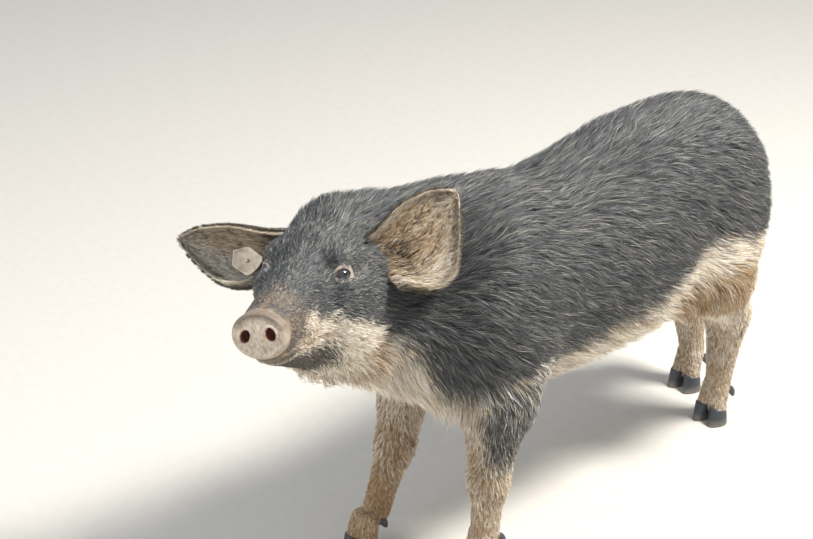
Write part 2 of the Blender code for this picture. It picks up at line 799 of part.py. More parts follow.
def part_number(points):
    """Which part of the body holds each point: 0 torso, 1 neck, 2 head, 3 to 6 the legs."""
    slope = np.array(Matrix.Rotation(NECK_SLOPE, 3, "X"))
    number = np.where(((points - np.array(NECK_END)) @ slope)[..., 1] < 0, 1, 0)
    number[((points - np.array(SNOUT_CENTRE)) @ HEAD_AXES)[..., 1] < HEAD_END] = 2
    for i, name in enumerate(FEET):
        side = 1 if FEET[name][0] > 0 else -1
        inner, outer, low, high = leg_limits(name)
        out = (side * points[..., 0] - LEG_PARTING) / (SIDE_OF_LEG_BLOCK - LEG_PARTING)
        top = inner + (outer - inner) * np.clip(out, 0.0, 1.0)
        within = (out > 0) & (points[..., 2] < top) & (points[..., 1] > low) & (points[..., 1] < high)
        number[within] = 3 + i
    return number


def coronet_axes():
    return np.array(Matrix.Rotation(-CORONET_SLOPE, 3, "X"))


def foot_block(name, grow=0.0):
    """What lies below the slanting hairline above the hooves of one foot."""
    foot_x, foot_y = FEET[name]
    centre = (foot_x, foot_y - 0.008, CORONET_HEIGHT)
    return box(name + " foot", (-0.05, -0.06, -0.05), (0.05, 0.06, grow), coronet_axes(), centre)


def hoof(name, leg, side):
    """One claw: a ring under the hairline, widening to a flat sole with a blunt point in front."""
    foot_x, foot_y = FEET[leg]
    rings = []
    for share in (0.0, 0.45, 1.0):
        ring = []
        for step in range(10):
            angle = math.tau * step / 10
            forward = math.cos(angle)
            inwards = -side * math.sin(angle)
            top_x = side * TOE_SPREAD + 0.0121 * math.sin(angle)
            top_y = -0.0128 * forward
            top_z = CORONET_HEIGHT - math.tan(CORONET_SLOPE) * top_y
            reach = HOOF_TOE if forward > 0 else HOOF_HEEL
            width = 0.0128 - 0.0038 * max(forward, 0.0) ** 2 - 0.0018 * max(inwards, 0.0)
            sole_x = side * (TOE_SPREAD + 0.0008) + width * math.sin(angle)
            sole_y = -reach * forward
            bulge = 1.0 - (1.0 - share) ** 1.6
            x = top_x + (sole_x - top_x) * bulge
            y = top_y + (sole_y - top_y) * share
            z = top_z * (1.0 - share)
            ring.append((foot_x + x, foot_y - 0.008 + y, z - GAP * (1.0 - share)))
        rings.append(ring)
    return loft(name, rings)


def dewclaw(name, leg, side):
    """A small horn cone at the back of the pastern, clear of the ground."""
    foot_x, foot_y = FEET[leg]
    path = (
        (foot_x + side * 0.0085, foot_y + 0.004, 0.052),
        (foot_x + side * 0.0132, foot_y + 0.0175, 0.0445),
        (foot_x + side * 0.0145, foot_y + 0.0235, 0.033),
    )
    return tube(name, path, (0.0058, 0.0060, 0.0032), sides=6)


def ear_outline(share):
    """Half the ear's width, and how far its middle lies below the line from root to tip."""
    half = np.interp(share, (0, 0.2, 0.45, 0.7, 0.88, 1), (0.040, 0.053, 0.052, 0.036, 0.018, 0.0022))
    drop = np.interp(share, (0, 0.2, 0.5, 0.8, 1), (0.0104, 0.0215, 0.0192, 0.0074, 0.000))
    return half, drop


def ear_cup(name):
    """Middle surface and normals of a cupped ear: an arc at each station, closed round at the root."""
    place, reach, facing, curl, length, breadth = EARS[name]
    stations, across = 7, 8
    root = head_point(*place)
    along = HEAD_AXES @ np.array(reach)
    along = along / np.linalg.norm(along)
    inner = HEAD_AXES @ np.array(facing)
    inner = inner - along * (inner @ along)
    inner = inner / np.linalg.norm(inner)
    down = np.cross(along, inner)
    if down @ HEAD_AXES[:, 2] > 0:
        down = -down
    middle = np.empty((stations + 1, across + 1, 3))
    normals = np.empty_like(middle)
    for row in range(stations + 1):
        share = row / stations
        half, drop = ear_outline(share)
        half_angle = curl * math.radians(42 + 38 * (1 - share) ** 2)
        radius = breadth * half / half_angle
        reach_out = share - EAR_SUNK * (1 - share)
        spine = root + along * length * reach_out - inner * 0.012 * share**2
        for column in range(across + 1):
            swing = half_angle * (2 * column / across - 1)
            rise = inner * radius * (1 - math.cos(swing))
            middle[row, column] = spine + down * (radius * math.sin(swing) + drop) + rise
            normals[row, column] = inner * math.cos(swing) - down * math.sin(swing)
    return middle, normals


def ear_object(name, middle, normals):
    """Both faces are split into triangles alike, so the thin sheet never crosses itself."""
    rows, columns = middle.shape[:2]
    thick = np.linspace(EAR_THICKNESS, 0.0012, rows)[:, None, None]
    edge = 1.0 - 0.45 * np.abs(np.linspace(-1, 1, columns))[None, :, None] ** 3
    front = middle + 0.5 * thick * edge * normals
    rear = middle - 0.5 * thick * edge * normals
    count = rows * columns
    faces = []
    for row in range(rows - 1):
        for column in range(columns - 1):
            a = row * columns + column
            b, c, d = a + 1, a + columns + 1, a + columns
            for one, two, three in ((a, b, c), (a, c, d)):
                faces.append((one, two, three))
                faces.append((three + count, two + count, one + count))
    border = list(range(columns - 1))
    border += [row * columns + columns - 1 for row in range(rows - 1)]
    border += [(rows - 1) * columns + column for column in range(columns - 1, 0, -1)]
    border += [row * columns for row in range(rows - 1, 0, -1)]
    for a, b in zip(border, border[1:] + border[:1]):
        faces.append((b, a, a + count))
        faces.append((b, a + count, b + count))
    obj = mesh_object(name, np.concatenate([front.reshape(-1, 3), rear.reshape(-1, 3)]), faces)
    face_out(obj)
    return obj


def tail_locks():
    """The tuft: locks round the lower half of the tail, each hanging past the one below it."""
    rng = np.random.default_rng(LOCK_SEED)
    route = np.array(TAIL_ROUTE)
    end = 2 * route[-1] - route[-2]
    route = np.concatenate([route, [end, 2 * end - route[-1]]])
    shares = np.linspace(0.0, 1.0, len(route))
    locks = []
    for i in range(TAIL_LOCKS):
        start = 0.40 + 0.34 * i / TAIL_LOCKS
        angle = math.tau * (0.38 * i + rng.uniform(-0.06, 0.06))
        out = np.array((math.cos(angle), math.sin(angle), 0.0))
        reach = TAIL_LOCK_LENGTH * rng.uniform(0.85, 1.15) / 0.23
        path = []
        for step, spread in ((0.0, 0.001), (0.34, 0.0075), (0.68, 0.0095), (1.0, 0.0085)):
            share = min(start + step * reach, 1.0)
            middle = [np.interp(share, shares, route[:, axis]) for axis in range(3)]
            path.append(np.array(middle) + out * spread)
        side = np.array((-out[1], out[0], 0.0))
        locks.append(lock(path, [side] * 3, [out] * 3, 0.013))
    return locks


def ear_tag(middle, normals):
    """A blunt-ended plastic plate on the inner face, and a stud through the ear that holds it."""
    row, column = (int(place) for place in TAG_PLACE)
    beyond, beside = TAG_PLACE[0] - row, TAG_PLACE[1] - column
    centre, out = (
        (grid[row, column] * (1 - beside) + grid[row, column + 1] * beside) * (1 - beyond)
        + (grid[row + 1, column] * (1 - beside) + grid[row + 1, column + 1] * beside) * beyond
        for grid in (middle, normals)
    )
    out = out / np.linalg.norm(out)
    along = middle[row + 1, column] - middle[row, column]
    along = along - out * (along @ out)
    along = along / np.linalg.norm(along)
    turn = np.array(Matrix.Rotation(TAG_TURN, 3, Vector(out)))
    axes = np.stack([turn @ along, turn @ np.cross(out, along), out], axis=1)
    tilted = axes @ np.array(Matrix.Rotation(TAG_TILT, 3, "X"))
    length, width, thick = TAG_SIZE
    middle_of_plate = centre + out * TAG_LIFT
    outline = [(-0.34, -0.5), (0.30, -0.5), (0.62, 0.0), (0.30, 0.5), (-0.34, 0.5)]
    outline += [(-0.34 - 0.14 * math.sin(math.radians(a)), 0.5 * math.cos(math.radians(a))) for a in (45, 90, 135)]
    rings = []
    for height in (0.0, thick):
        rings.append([middle_of_plate + tilted @ np.array((x * length, y * width, height)) for x, y in outline])
    plate = loft("ear_tag_plate", rings)
    hole = tube("hole", [centre + out * h for h in (-0.02, 0.025)], [TAG_PIN_RADIUS + 2 * GAP] * 2, sides=9)
    top = TAG_LIFT + thick + 2 * GAP
    rings = []
    for height, radius in (
        (-0.0046, 0.0075),
        (-0.0030, 0.0085),
        (-0.0022, 0.0085),
        (-0.0022, TAG_PIN_RADIUS),
        (top + 0.0016, TAG_PIN_RADIUS),
        (top + 0.0024, TAG_PIN_RADIUS * 0.6),
    ):
        ring = []
        for step in range(9):
            angle = math.tau * step / 9
            flat = np.array((radius * math.cos(angle), radius * math.sin(angle), height))
            ring.append(centre + axes @ flat)
        rings.append(ring)
    stud = loft("ear_tag_stud", rings)
    return plate, stud, hole


def material(name, colour, roughness):
    made = bpy.data.materials.new(name)
    made.use_nodes = True
    shader = made.node_tree.nodes["Principled BSDF"]
    shader.inputs["Base Color"].default_value = (*colour, 1.0)
    shader.inputs["Roughness"].default_value = roughness
    made.diffuse_color = (*colour, 1.0)
    return made


COLOURS = {
    "slate bristles": ((0.070, 0.078, 0.095), 0.60),
    "straw bristles": ((0.45, 0.33, 0.20), 0.62),
    "ear skin and hair": ((0.20, 0.15, 0.11), 0.65),
    "eye": ((0.015, 0.018, 0.028), 0.12),
    "horn": ((0.12, 0.12, 0.13), 0.45),
    "tag plastic": ((0.72, 0.62, 0.45), 0.40),
}


def finished(obj, finish, parent):
    keep_largest_shell(obj)
    obj.data.name = obj.name
    obj.data.shade_smooth()
    obj.data.set_sharp_from_angle(angle=math.radians(38))
    obj.data.materials.clear()
    obj.data.materials.append(bpy.data.materials[finish])
    obj.parent = parent


def parted(rest, name, block, grown_block):
    """The share of the rest inside the block; the rest is cut clear of it by the gap."""
    node = copy_of(rest, name)
    boolean(node, "INTERSECT", [block])
    boolean(rest, "DIFFERENCE", [grown_block])
    remove([block, grown_block])
    return node


for old in list(bpy.data.objects):
    bpy.data.objects.remove(old, do_unlink=True)
for finish, (colour, roughness) in COLOURS.items():
    material(finish, colour, roughness)
pig = new_object("pig", None)

surface, quads = core_surface()
core = core_object(surface, quads)
flesh = grown(core, "flesh", GAP * 1.2)
added = [snout_disc(), *lips(), *lids(1), *lids(-1), *coat_locks(surface)]
boolean(core, "UNION", added)
sockets = [eyeball("socket", side, GAP) for side in (1, -1)]
cutters = [*nostrils(), mouth_tube("mouth", MOUTH_RADIUS), *sockets]
boolean(core, "DIFFERENCE", cutters)
remove(added + cutters)
keep_largest_shell(core)

torso = core
torso.name = "torso"
feet = [foot_block(name) for name in FEET]
boolean(torso, "DIFFERENCE", feet)
remove(feet)
nodes = {}
for name in FEET:
    nodes["leg_" + name] = parted(torso, "leg_" + name, leg_block(name), leg_block(name, GAP))
nodes["head"] = parted(torso, "head", head_block(), head_block(GAP))
nodes["neck"] = parted(torso, "neck", neck_block(), neck_block(GAP))
nodes["torso"] = torso
for name, node in nodes.items():
    keep_largest_shell(node)
    finished(node, "straw bristles" if name.startswith("leg") else "slate bristles", pig)

tail_node = tube("tail", TAIL_ROUTE, TAIL_RADII)
tuft = tail_locks()
boolean(tail_node, "UNION", tuft)
remove(tuft)
boolean(tail_node, "DIFFERENCE", [flesh])
finished(tail_node, "slate bristles", pig)

for name in EARS:
    middle, normals = ear_cup(name)
    ear = ear_object(name, middle, normals)
    boolean(ear, "DIFFERENCE", [flesh])
    if name == "ear_right":
        plate, stud, hole = ear_tag(middle, normals)
        for holed in (ear, plate):
            boolean(holed, "DIFFERENCE", [hole])
        remove([hole])
        finished(plate, "tag plastic", pig)
        finished(stud, "tag plastic", pig)
    finished(ear, "ear skin and hair", pig)

for side, name in ((1, "eye_left"), (-1, "eye_right")):
    finished(eyeball(name, side), "eye", pig)

for leg in FEET:
    for side, place in ((1, "left"), (-1, "right")):
        finished(hoof(f"hoof_{leg}_{place}", leg, side), "horn", pig)
        claw = dewclaw(f"dewclaw_{leg}_{place}", leg, side)
        boolean(claw, "DIFFERENCE", [flesh])
        finished(claw, "horn", pig)
remove([flesh])


def rest_at_origin():
    """Moves the pig so that the middle of its footprint box is the origin and its soles are at zero."""
    bpy.context.view_layer.update()
    places = [vert.co for obj in pig.children for vert in obj.data.vertices]
    places = np.array(places)
    low, high = places.min(axis=0), places.max(axis=0)
    pig.location = (-0.5 * (low[0] + high[0]), -0.5 * (low[1] + high[1]), -low[2])
    pig.empty_display_size = 0.1


rest_at_origin()
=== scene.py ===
import math

import bmesh
import bpy
import numpy as np
from mathutils import Matrix, Vector


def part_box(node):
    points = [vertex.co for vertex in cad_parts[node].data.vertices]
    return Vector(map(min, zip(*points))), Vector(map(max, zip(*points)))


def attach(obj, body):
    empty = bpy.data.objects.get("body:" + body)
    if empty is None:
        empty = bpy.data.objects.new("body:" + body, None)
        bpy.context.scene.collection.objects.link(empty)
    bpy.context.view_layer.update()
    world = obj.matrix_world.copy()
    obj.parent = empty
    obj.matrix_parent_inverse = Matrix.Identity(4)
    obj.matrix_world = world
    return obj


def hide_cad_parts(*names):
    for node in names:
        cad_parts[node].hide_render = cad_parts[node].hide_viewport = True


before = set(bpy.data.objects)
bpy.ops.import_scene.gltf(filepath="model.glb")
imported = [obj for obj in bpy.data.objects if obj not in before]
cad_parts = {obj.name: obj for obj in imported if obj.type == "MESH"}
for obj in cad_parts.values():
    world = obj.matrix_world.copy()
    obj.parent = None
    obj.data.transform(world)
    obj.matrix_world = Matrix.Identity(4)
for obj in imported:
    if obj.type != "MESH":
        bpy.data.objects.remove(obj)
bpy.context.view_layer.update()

# The hide: one skin over head, ears, neck, trunk, legs and tail of a young pig that stands with its
# head turned and raised. It lies under the hair tips by the coat's depth. The face is drawn finer,
# with the disc of the nose, nostrils, lips, lids and folds in the same surface.
SNOUT = np.array((0.079, -0.556, 0.460))
HEAD_TURN = (math.radians(28), math.radians(-12), math.radians(-4.5))
FEET = {
    "front_left": (0.078, -0.204),
    "front_right": (-0.054, -0.286),
    "hind_left": (0.042, 0.318),
    "hind_right": (-0.047, 0.370),
}
LEG_SPREAD = 0.078
TOE_SPREAD = 0.0125
CORONET_HEIGHT = 0.023
COAT_DEPTH = 0.012
EYE_RADIUS = 0.0115
EYE_PLACE = np.array((0.0407, 0.1398, 0.0378))
NOSE_HALF_WIDTH = 0.0320
NOSE_HALF_HEIGHT = 0.0262
NOSTRIL_SIDE = 0.0146
NOSTRIL_UP = 0.0012
NOSTRIL_TILT = 0.0022
SNOUT_FOLD = 0.0062
BODY_STEP = 0.0055
FACE_STEP = 0.0013
FACE_END = 0.200
FACE_OVERLAP = 0.012

yaw, lift, roll = HEAD_TURN
HEAD = np.array(Matrix.Rotation(yaw, 3, "Z") @ Matrix.Rotation(lift, 3, "X") @ Matrix.Rotation(roll, 3, "Y"))


def in_head(points):
    """Places in the head's own frame: left, back and up from the middle of the nose plate."""
    return (points - SNOUT) @ HEAD


def from_head(local):
    return SNOUT + np.asarray(local) @ HEAD.T


def unit(vectors):
    return vectors / np.linalg.norm(vectors, axis=-1, keepdims=True)


def soft_union(first, second, blend):
    mix = np.clip(0.5 + 0.5 * (second - first) / blend, 0.0, 1.0)
    return second + (first - second) * mix - blend * mix * (1.0 - mix)


def soft_cut(field, tool, blend):
    return -soft_union(-field, tool, blend)


def ellipsoid(points, centre, radii):
    offset = points - np.asarray(centre)
    radii = np.asarray(radii)
    scaled = np.linalg.norm(offset / radii, axis=-1)
    slope = np.linalg.norm(offset / radii**2, axis=-1)
    return scaled * (scaled - 1.0) / np.maximum(slope, 1e-9)


def bone(points, start, end, start_radius, end_radius):
    start = np.asarray(start)
    span = np.asarray(end) - start
    along = np.clip((points - start) @ span / (span @ span), 0.0, 1.0)
    radius = start_radius + (end_radius - start_radius) * along
    return np.linalg.norm(points - start - along[..., None] * span, axis=-1) - radius


def cord_of(points, path, radii):
    """A tapered tube along a path."""
    pieces = [bone(points, a, b, ra, rb) for a, b, ra, rb in zip(path, path[1:], radii, radii[1:])]
    return np.min(pieces, axis=0)


def trunk_shape(points):
    field = ellipsoid(points, (0, -0.135, 0.350), (0.104, 0.150, 0.119))
    for centre, radii in (
        ((0, -0.010, 0.347), (0.112, 0.175, 0.122)),
        ((0, 0.100, 0.351), (0.114, 0.165, 0.125)),
        ((0, 0.185, 0.398), (0.101, 0.150, 0.096)),
        ((0, 0.268, 0.402), (0.087, 0.095, 0.088)),
    ):
        field = soft_union(field, ellipsoid(points, centre, radii), 0.03)
    for side in (1, -1):
        for centre, radii in (
            ((side * 0.066, -0.165, 0.350), (0.042, 0.078, 0.105)),
            ((side * 0.054, 0.274, 0.345), (0.051, 0.076, 0.105)),
        ):
            field = soft_union(field, ellipsoid(points, centre, radii), 0.03)
    return field


def neck_shape(points):
    crest = bone(points, (0, -0.120, 0.420), from_head((0, 0.262, 0.046)), 0.056, 0.053)
    throat = bone(points, (0, -0.190, 0.340), from_head((0, 0.235, -0.035)), 0.094, 0.056)
    return soft_union(crest, throat, 0.05)


def head_shape(local):
    field = bone(local, (0, 0.022, -0.002), (0, 0.125, 0.004), 0.0265, 0.041)
    field = soft_union(field, bone(local, (0, 0.022, 0.005), (0, 0.165, 0.038), 0.021, 0.036), 0.02)
    field = soft_union(field, ellipsoid(local, (0, 0.208, 0.040), (0.054, 0.064, 0.044)), 0.03)
    field = soft_union(field, bone(local, (0, 0.040, -0.027), (0, 0.160, -0.040), 0.015, 0.038), 0.015)
    for side in (1, -1):
        for centre, radii, blend in (
            ((side * 0.036, 0.178, -0.014), (0.031, 0.062, 0.050), 0.025),
            ((side * 0.044, 0.170, 0.022), (0.016, 0.044, 0.018), 0.02),
            ((side * 0.037, 0.158, 0.055), (0.014, 0.024, 0.011), 0.015),
        ):
            field = soft_union(field, ellipsoid(local, centre, radii), blend)
    return field


def leg_joints(name):
    """Shoulder or hip, elbow or stifle, knee or hock, and fetlock, each with its radius."""
    foot_x, foot_y = FEET[name]
    side = 1 if foot_x > 0 else -1
    if name.startswith("front"):
        return (
            ((side * 0.066, -0.165, 0.310), 0.048),
            ((side * LEG_SPREAD, -0.185, 0.232), 0.040),
            ((0.5 * (side * LEG_SPREAD + foot_x), 0.3 * foot_y - 0.7 * 0.195, 0.125), 0.0205),
            ((foot_x, 0.8 * foot_y - 0.2 * 0.190, 0.056), 0.0175),
        )
    return (
        ((side * 0.056, 0.258, 0.350), 0.058),
        ((side * 0.074, 0.5 * foot_y + 0.075, 0.275), 0.052),
        ((0.4 * side * LEG_SPREAD + 0.6 * foot_x, foot_y - 0.006, 0.176), 0.0250),
        ((foot_x, foot_y + 0.004, 0.058), 0.0175),
    )


def leg_shape(points, name):
    joints = leg_joints(name)
    field = None
    for (start, start_radius), (end, end_radius) in zip(joints, joints[1:]):
        piece = bone(points, start, end, start_radius, end_radius)
        field = piece if field is None else soft_union(field, piece, 0.02)
    foot_x, foot_y = FEET[name]
    fetlock = joints[-1][0]
    if name.startswith("hind"):
        hock = joints[2][0]
        heel = (hock[0], hock[1] + 0.014, hock[2] + 0.014)
        field = soft_union(field, ellipsoid(points, heel, (0.012, 0.014, 0.022)), 0.02)
    for side in (1, -1):
        toe = (foot_x + side * TOE_SPREAD, foot_y - 0.008, CORONET_HEIGHT - 0.004)
        root = (foot_x + side * 0.008, foot_y - 0.001, fetlock[2] - 0.008)
        field = soft_union(field, bone(points, root, toe, 0.0125, 0.0108), 0.006)
    return field


def body_shape(points):
    field = soft_union(trunk_shape(points), neck_shape(points), 0.05)
    field = soft_union(field, head_shape(in_head(points)), 0.03)
    for name in FEET:
        field = soft_union(field, leg_shape(points, name), 0.03)
    return field


def slope_of(field, points, reach=0.0005):
    slopes = []
    for axis in range(3):
        shift = np.zeros(3)
        shift[axis] = reach
        slopes.append((field(points + shift) - field(points - shift)) / (2 * reach))
    return np.stack(slopes, axis=-1)


def onto_surface(field, points, height=0.0, rounds=2):
    for _ in range(rounds):
        slope = slope_of(field, points)
        steepness = np.maximum((slope**2).sum(axis=-1, keepdims=True), 0.05)
        points = points - (field(points) - height)[..., None] * slope / steepness
    return points


def sampled(field, low, high, step):
    count = np.ceil((np.asarray(high) - low) / step).astype(int) + 1
    axes = [low[i] + step * np.arange(count[i]) for i in range(3)]
    values = np.empty(tuple(count), np.float32)
    y, z = np.meshgrid(axes[1], axes[2], indexing="ij")
    for row, x in enumerate(axes[0]):
        values[row] = field(np.stack([np.full_like(y, x), y, z], axis=-1))
    return values


def net_over(shape, low, high, step):
    """Quads of a shape's zero level on a grid: one vertex in each cell that the level crosses."""
    low = np.array(low)
    field = sampled(shape, low, high, step)
    inside = field < 0
    cells = tuple(np.array(field.shape) - 1)
    total = np.zeros(cells + (3,))
    crossings = np.zeros(cells)
    edges = []
    for axis in range(3):
        here = [slice(None)] * 3
        there = [slice(None)] * 3
        here[axis] = slice(0, -1)
        there[axis] = slice(1, None)
        first, second = field[tuple(here)], field[tuple(there)]
        start = np.argwhere(inside[tuple(here)] != inside[tuple(there)])
        others = [other for other in range(3) if other != axis]
        limits = np.array(cells)[others]
        start = start[((start[:, others] > 0) & (start[:, others] < limits)).all(axis=1)]
        before = first[tuple(start.T)]
        after = second[tuple(start.T)]
        point = start.astype(float)
        point[:, axis] += before / (before - after)
        edges.append((axis, start, before < 0))
        for shift_a in (0, -1):
            for shift_b in (0, -1):
                cell = start.copy()
                cell[:, others[0]] += shift_a
                cell[:, others[1]] += shift_b
                np.add.at(total, tuple(cell.T), point)
                np.add.at(crossings, tuple(cell.T), 1)
    used = crossings > 0
    index = np.full(cells, -1)
    index[used] = np.arange(used.sum())
    vertices = total[used] / crossings[used][:, None] * step + low
    quads = []
    for axis, start, falls in edges:
        one, two = (axis + 1) % 3, (axis + 2) % 3
        corners = []
        for shift_one, shift_two in ((0, 0), (-1, 0), (-1, -1), (0, -1)):
            cell = start.copy()
            cell[:, one] += shift_one
            cell[:, two] += shift_two
            corners.append(index[tuple(cell.T)])
        quad = np.stack(corners, axis=1)
        quads.append(np.where(falls[:, None], quad, quad[:, ::-1]))
    return vertices, np.concatenate(quads)


def kept_faces(vertices, quads, keep):
    quads = quads[keep[quads].all(axis=1)]
    used = np.zeros(len(vertices), bool)
    used[quads] = True
    index = np.cumsum(used) - 1
    return vertices[used], index[quads]


def ramp(value, start, end):
    """0 before the start, 1 after the end, straight between."""
    return np.clip((value - start) / (end - start), 0.0, 1.0)


def eye_axes(side):
    """Corner to corner, out of the head, and up."""
    out = unit(HEAD @ np.array((side * 0.68, -0.68, 0.24)))
    along = unit(np.cross(out, HEAD[:, 2]))
    return np.stack([along, out, np.cross(along, out)], axis=1)


LID_STATIONS = 12
EYES = {side: (from_head(EYE_PLACE * (side, 1, 1)), eye_axes(side)) for side in (1, -1)}
# The solids stand with the middle of their box over the origin; the eyes' nodes tell how far that is.
eye_nodes = [np.array(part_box(name)).mean(axis=0) for name in ("eye_left", "eye_right")]
BODY_PLACE = np.mean(eye_nodes, axis=0) - (EYES[1][0] + EYES[-1][0]) / 2
BODY_PLACE[2] = 0.0


def lid_line(side, rise, reach, swing_end=66):
    """A line along an eyelid, in the head's frame, at a distance from the middle of the eyeball."""
    middle, axes = EYES[side]
    path = []
    for swing in np.radians(np.linspace(-swing_end, swing_end, LID_STATIONS)):
        way = np.array((math.sin(swing), math.cos(swing), rise * math.cos(swing * 90 / swing_end)))
        path.append(in_head(middle + axes @ unit(way) * reach))
    return path


def arch(ends):
    """Thickest at the middle of a lid or fold, thinner towards its ends."""
    return np.sin(np.linspace(ends, math.pi - ends, LID_STATIONS))


def fold_line(side, rise, reach):
    """A fold of skin round the eye, following the surface of the head."""
    line = from_head(np.array(lid_line(side, rise, reach, 62)))
    return in_head(onto_surface(body_shape, line, -0.0012, 3))


def mouth_line(drop=0.0):
    guide = (
        (0.046, 0.098, -0.022),
        (0.042, 0.078, -0.029),
        (0.038, 0.055, -0.033),
        (0.031, 0.034, -0.0345),
        (0.018, 0.022, -0.0335),
        (0.000, 0.018, -0.0325),
    )
    whole = np.array(list(guide) + [(-left, back, up) for left, back, up in guide[-2::-1]])
    return in_head(onto_surface(body_shape, from_head(whole - (0, 0, drop)), rounds=3))


def smooth_waves(points, lengths, seed, count=4):
    """A soft uneven pattern between about -1 and 1, from crossing waves of the given lengths."""
    rng = np.random.default_rng(seed)
    total = np.zeros(points.shape[:-1])
    for length in lengths:
        for _ in range(count):
            way = rng.normal(size=3)
            way *= math.tau / length / np.linalg.norm(way)
            total += np.sin(points @ way + rng.uniform(0, math.tau))
    return total / (len(lengths) * count) ** 0.5


MOUTH = mouth_line()
UPPER_LIP = mouth_line(-0.0042)
LOWER_LIP = mouth_line(0.0046)
EYE_FOLDS = {
    side: [
        (fold_line(side, rise, reach), radius)
        for rise, reach, radius in (
            (1.25, 0.0158, 0.0026),
            (2.1, 0.0210, 0.0015),
            (-1.05, 0.0152, 0.0026),
            (-1.6, 0.0195, 0.0018),
        )
    ]
    for side in (1, -1)
}
EYE_LIDS = {
    side: [
        (lid_line(side, rise, EYE_RADIUS + 0.0009), thick * arch(0.5))
        for rise, thick in ((0.92, 0.0021), (-0.80, 0.0017))
    ]
    for side in (1, -1)
}
LIP_RADII = (0.0006, 0.0014, 0.0024, 0.0031, 0.0033, 0.0032, 0.0033, 0.0031, 0.0024, 0.0014, 0.0006)


def nostril(side, back):
    return np.array((side * NOSTRIL_SIDE, back, NOSTRIL_UP + side * NOSTRIL_TILT))


def nose_plate(local):
    """A thick round-edged disc, hollowed a little in front, with a raised rim."""
    left, back, up = np.moveaxis(local, -1, 0)
    radial = np.hypot(left / NOSE_HALF_WIDTH, up / NOSE_HALF_HEIGHT)
    hollow = 0.0016 * np.clip(1.0 - (radial / 0.86) ** 4, 0.0, 1.0)
    hollow = hollow - 0.0007 * np.exp(-(((radial - 0.9) / 0.07) ** 2))
    ridge = 0.0008 * np.exp(-((left / 0.004) ** 2)) * ramp(-up, 0.0, 0.02)
    side = (radial - 1.0) * 0.0290
    slab = np.abs(back - 0.0055) - 0.0090 + hollow + ridge
    edge = 0.0045
    outer = np.hypot(np.maximum(side + edge, 0.0), np.maximum(slab + edge, 0.0))
    return outer + np.minimum(np.maximum(side, slab) + edge, 0.0) - edge


def face_shape(local):
    """The head with all its fine forms, in its own frame."""
    points = from_head(local)
    field = soft_union(neck_shape(points), head_shape(local), 0.03)
    plate = nose_plate(local)
    near = (np.abs(field) < 0.014) | (np.abs(plate) < 0.014)
    place, shape, plate = local[near], field[near], plate[near]
    left, back, up = place.T
    front = ramp(-back, -0.105, -0.055)
    uneven = 0.12 * np.abs(left) + 0.0012 * smooth_waves(place, (0.03,), 3)
    folds = np.sin(math.tau * (back + uneven) / SNOUT_FOLD)
    shape = shape + 0.00034 * folds * front * ramp(back, 0.016, 0.026) * ramp(up, -0.002, 0.012)
    shape = shape + 0.0005 * smooth_waves(place, (0.011, 0.018), 5) * ramp(-back, -0.20, -0.14)
    shape = soft_union(shape, plate, 0.0035)
    for side in (1, -1):
        turned = (place - nostril(side, -0.002)) @ np.array(Matrix.Rotation(side * -0.42, 3, "Y"))
        shape = soft_union(shape, ellipsoid(turned, (0, 0.0008, 0), (0.0092, 0.0068, 0.0112)), 0.003)
        shape = soft_cut(shape, ellipsoid(turned, (0, 0, 0), (0.0056, 0.0140, 0.0076)), 0.0022)
        middle = in_head(EYES[side][0])
        around = np.linalg.norm(place - middle, axis=-1)
        ring = around < 0.036
        spot, part = place[ring], shape[ring]
        for line, radius in EYE_FOLDS[side]:
            part = soft_union(part, cord_of(spot, line, radius * arch(0.2)), 0.004)
        seen = in_head(EYES[side][0] + EYES[side][1] @ np.array((0, 0.0135, 0.0004)))
        opening = ellipsoid((spot - seen) @ (HEAD.T @ EYES[side][1]), (0, 0, 0), (0.0098, 0.0110, 0.0066))
        socket = np.linalg.norm(spot - middle, axis=-1) - EYE_RADIUS
        part = soft_cut(part, np.minimum(opening, socket), 0.0012)
        for line, swell in EYE_LIDS[side]:
            part = soft_union(part, cord_of(spot, line, swell), 0.0020)
        shape[ring] = part
    jaws = (up < 0.0) & (back < 0.12)
    lips = shape[jaws]
    for line in (UPPER_LIP, LOWER_LIP):
        lips = soft_union(lips, cord_of(place[jaws], line, LIP_RADII), 0.004)
    groove = cord_of(place[jaws], MOUTH, [0.42 * radius for radius in LIP_RADII])
    shape[jaws] = soft_cut(lips, groove, 0.0016)
    field[near] = shape
    return field


def from_nearer_eye(local):
    """How far places in the head's frame are from the eye on their own side."""
    return np.linalg.norm(np.abs(local * (1, 0, 0)) + local * (0, 1, 1) - EYE_PLACE, axis=-1)


def coat_depth(points):
    """How far the coat's tips stand above the hide: least on the muzzle and the lower legs."""
    local = in_head(points)
    by_head = ramp(local[..., 1], 0.05, 0.25) ** 1.5
    by_leg = np.clip((points[..., 2] - 0.07) / 0.18, 0.1, 1.0)
    by_eye = ramp(from_nearer_eye(local), 0.012, 0.052)
    return COAT_DEPTH * np.minimum(np.minimum(by_head, by_leg), by_eye)


def smooth_path(points, count):
    """Points along a Catmull-Rom curve through the given ones."""
    padded = np.concatenate([[2 * points[0] - points[1]], points, [2 * points[-1] - points[-2]]])
    at = np.linspace(0, len(points) - 1.001, count)
    i = at.astype(int)
    t = (at - i)[:, None]
    a, b, c, d = (padded[i + k] for k in range(4))
    return 0.5 * (2 * b + (c - a) * t + (2 * a - 5 * b + 4 * c - d) * t**2 + (3 * b - a - 3 * c + d) * t**3)


def eased(share, at, values):
    """A smooth curve through the given values."""
    curve = smooth_path(np.stack([at, values], axis=1), 160)
    return np.interp(share, curve[:, 0], curve[:, 1])


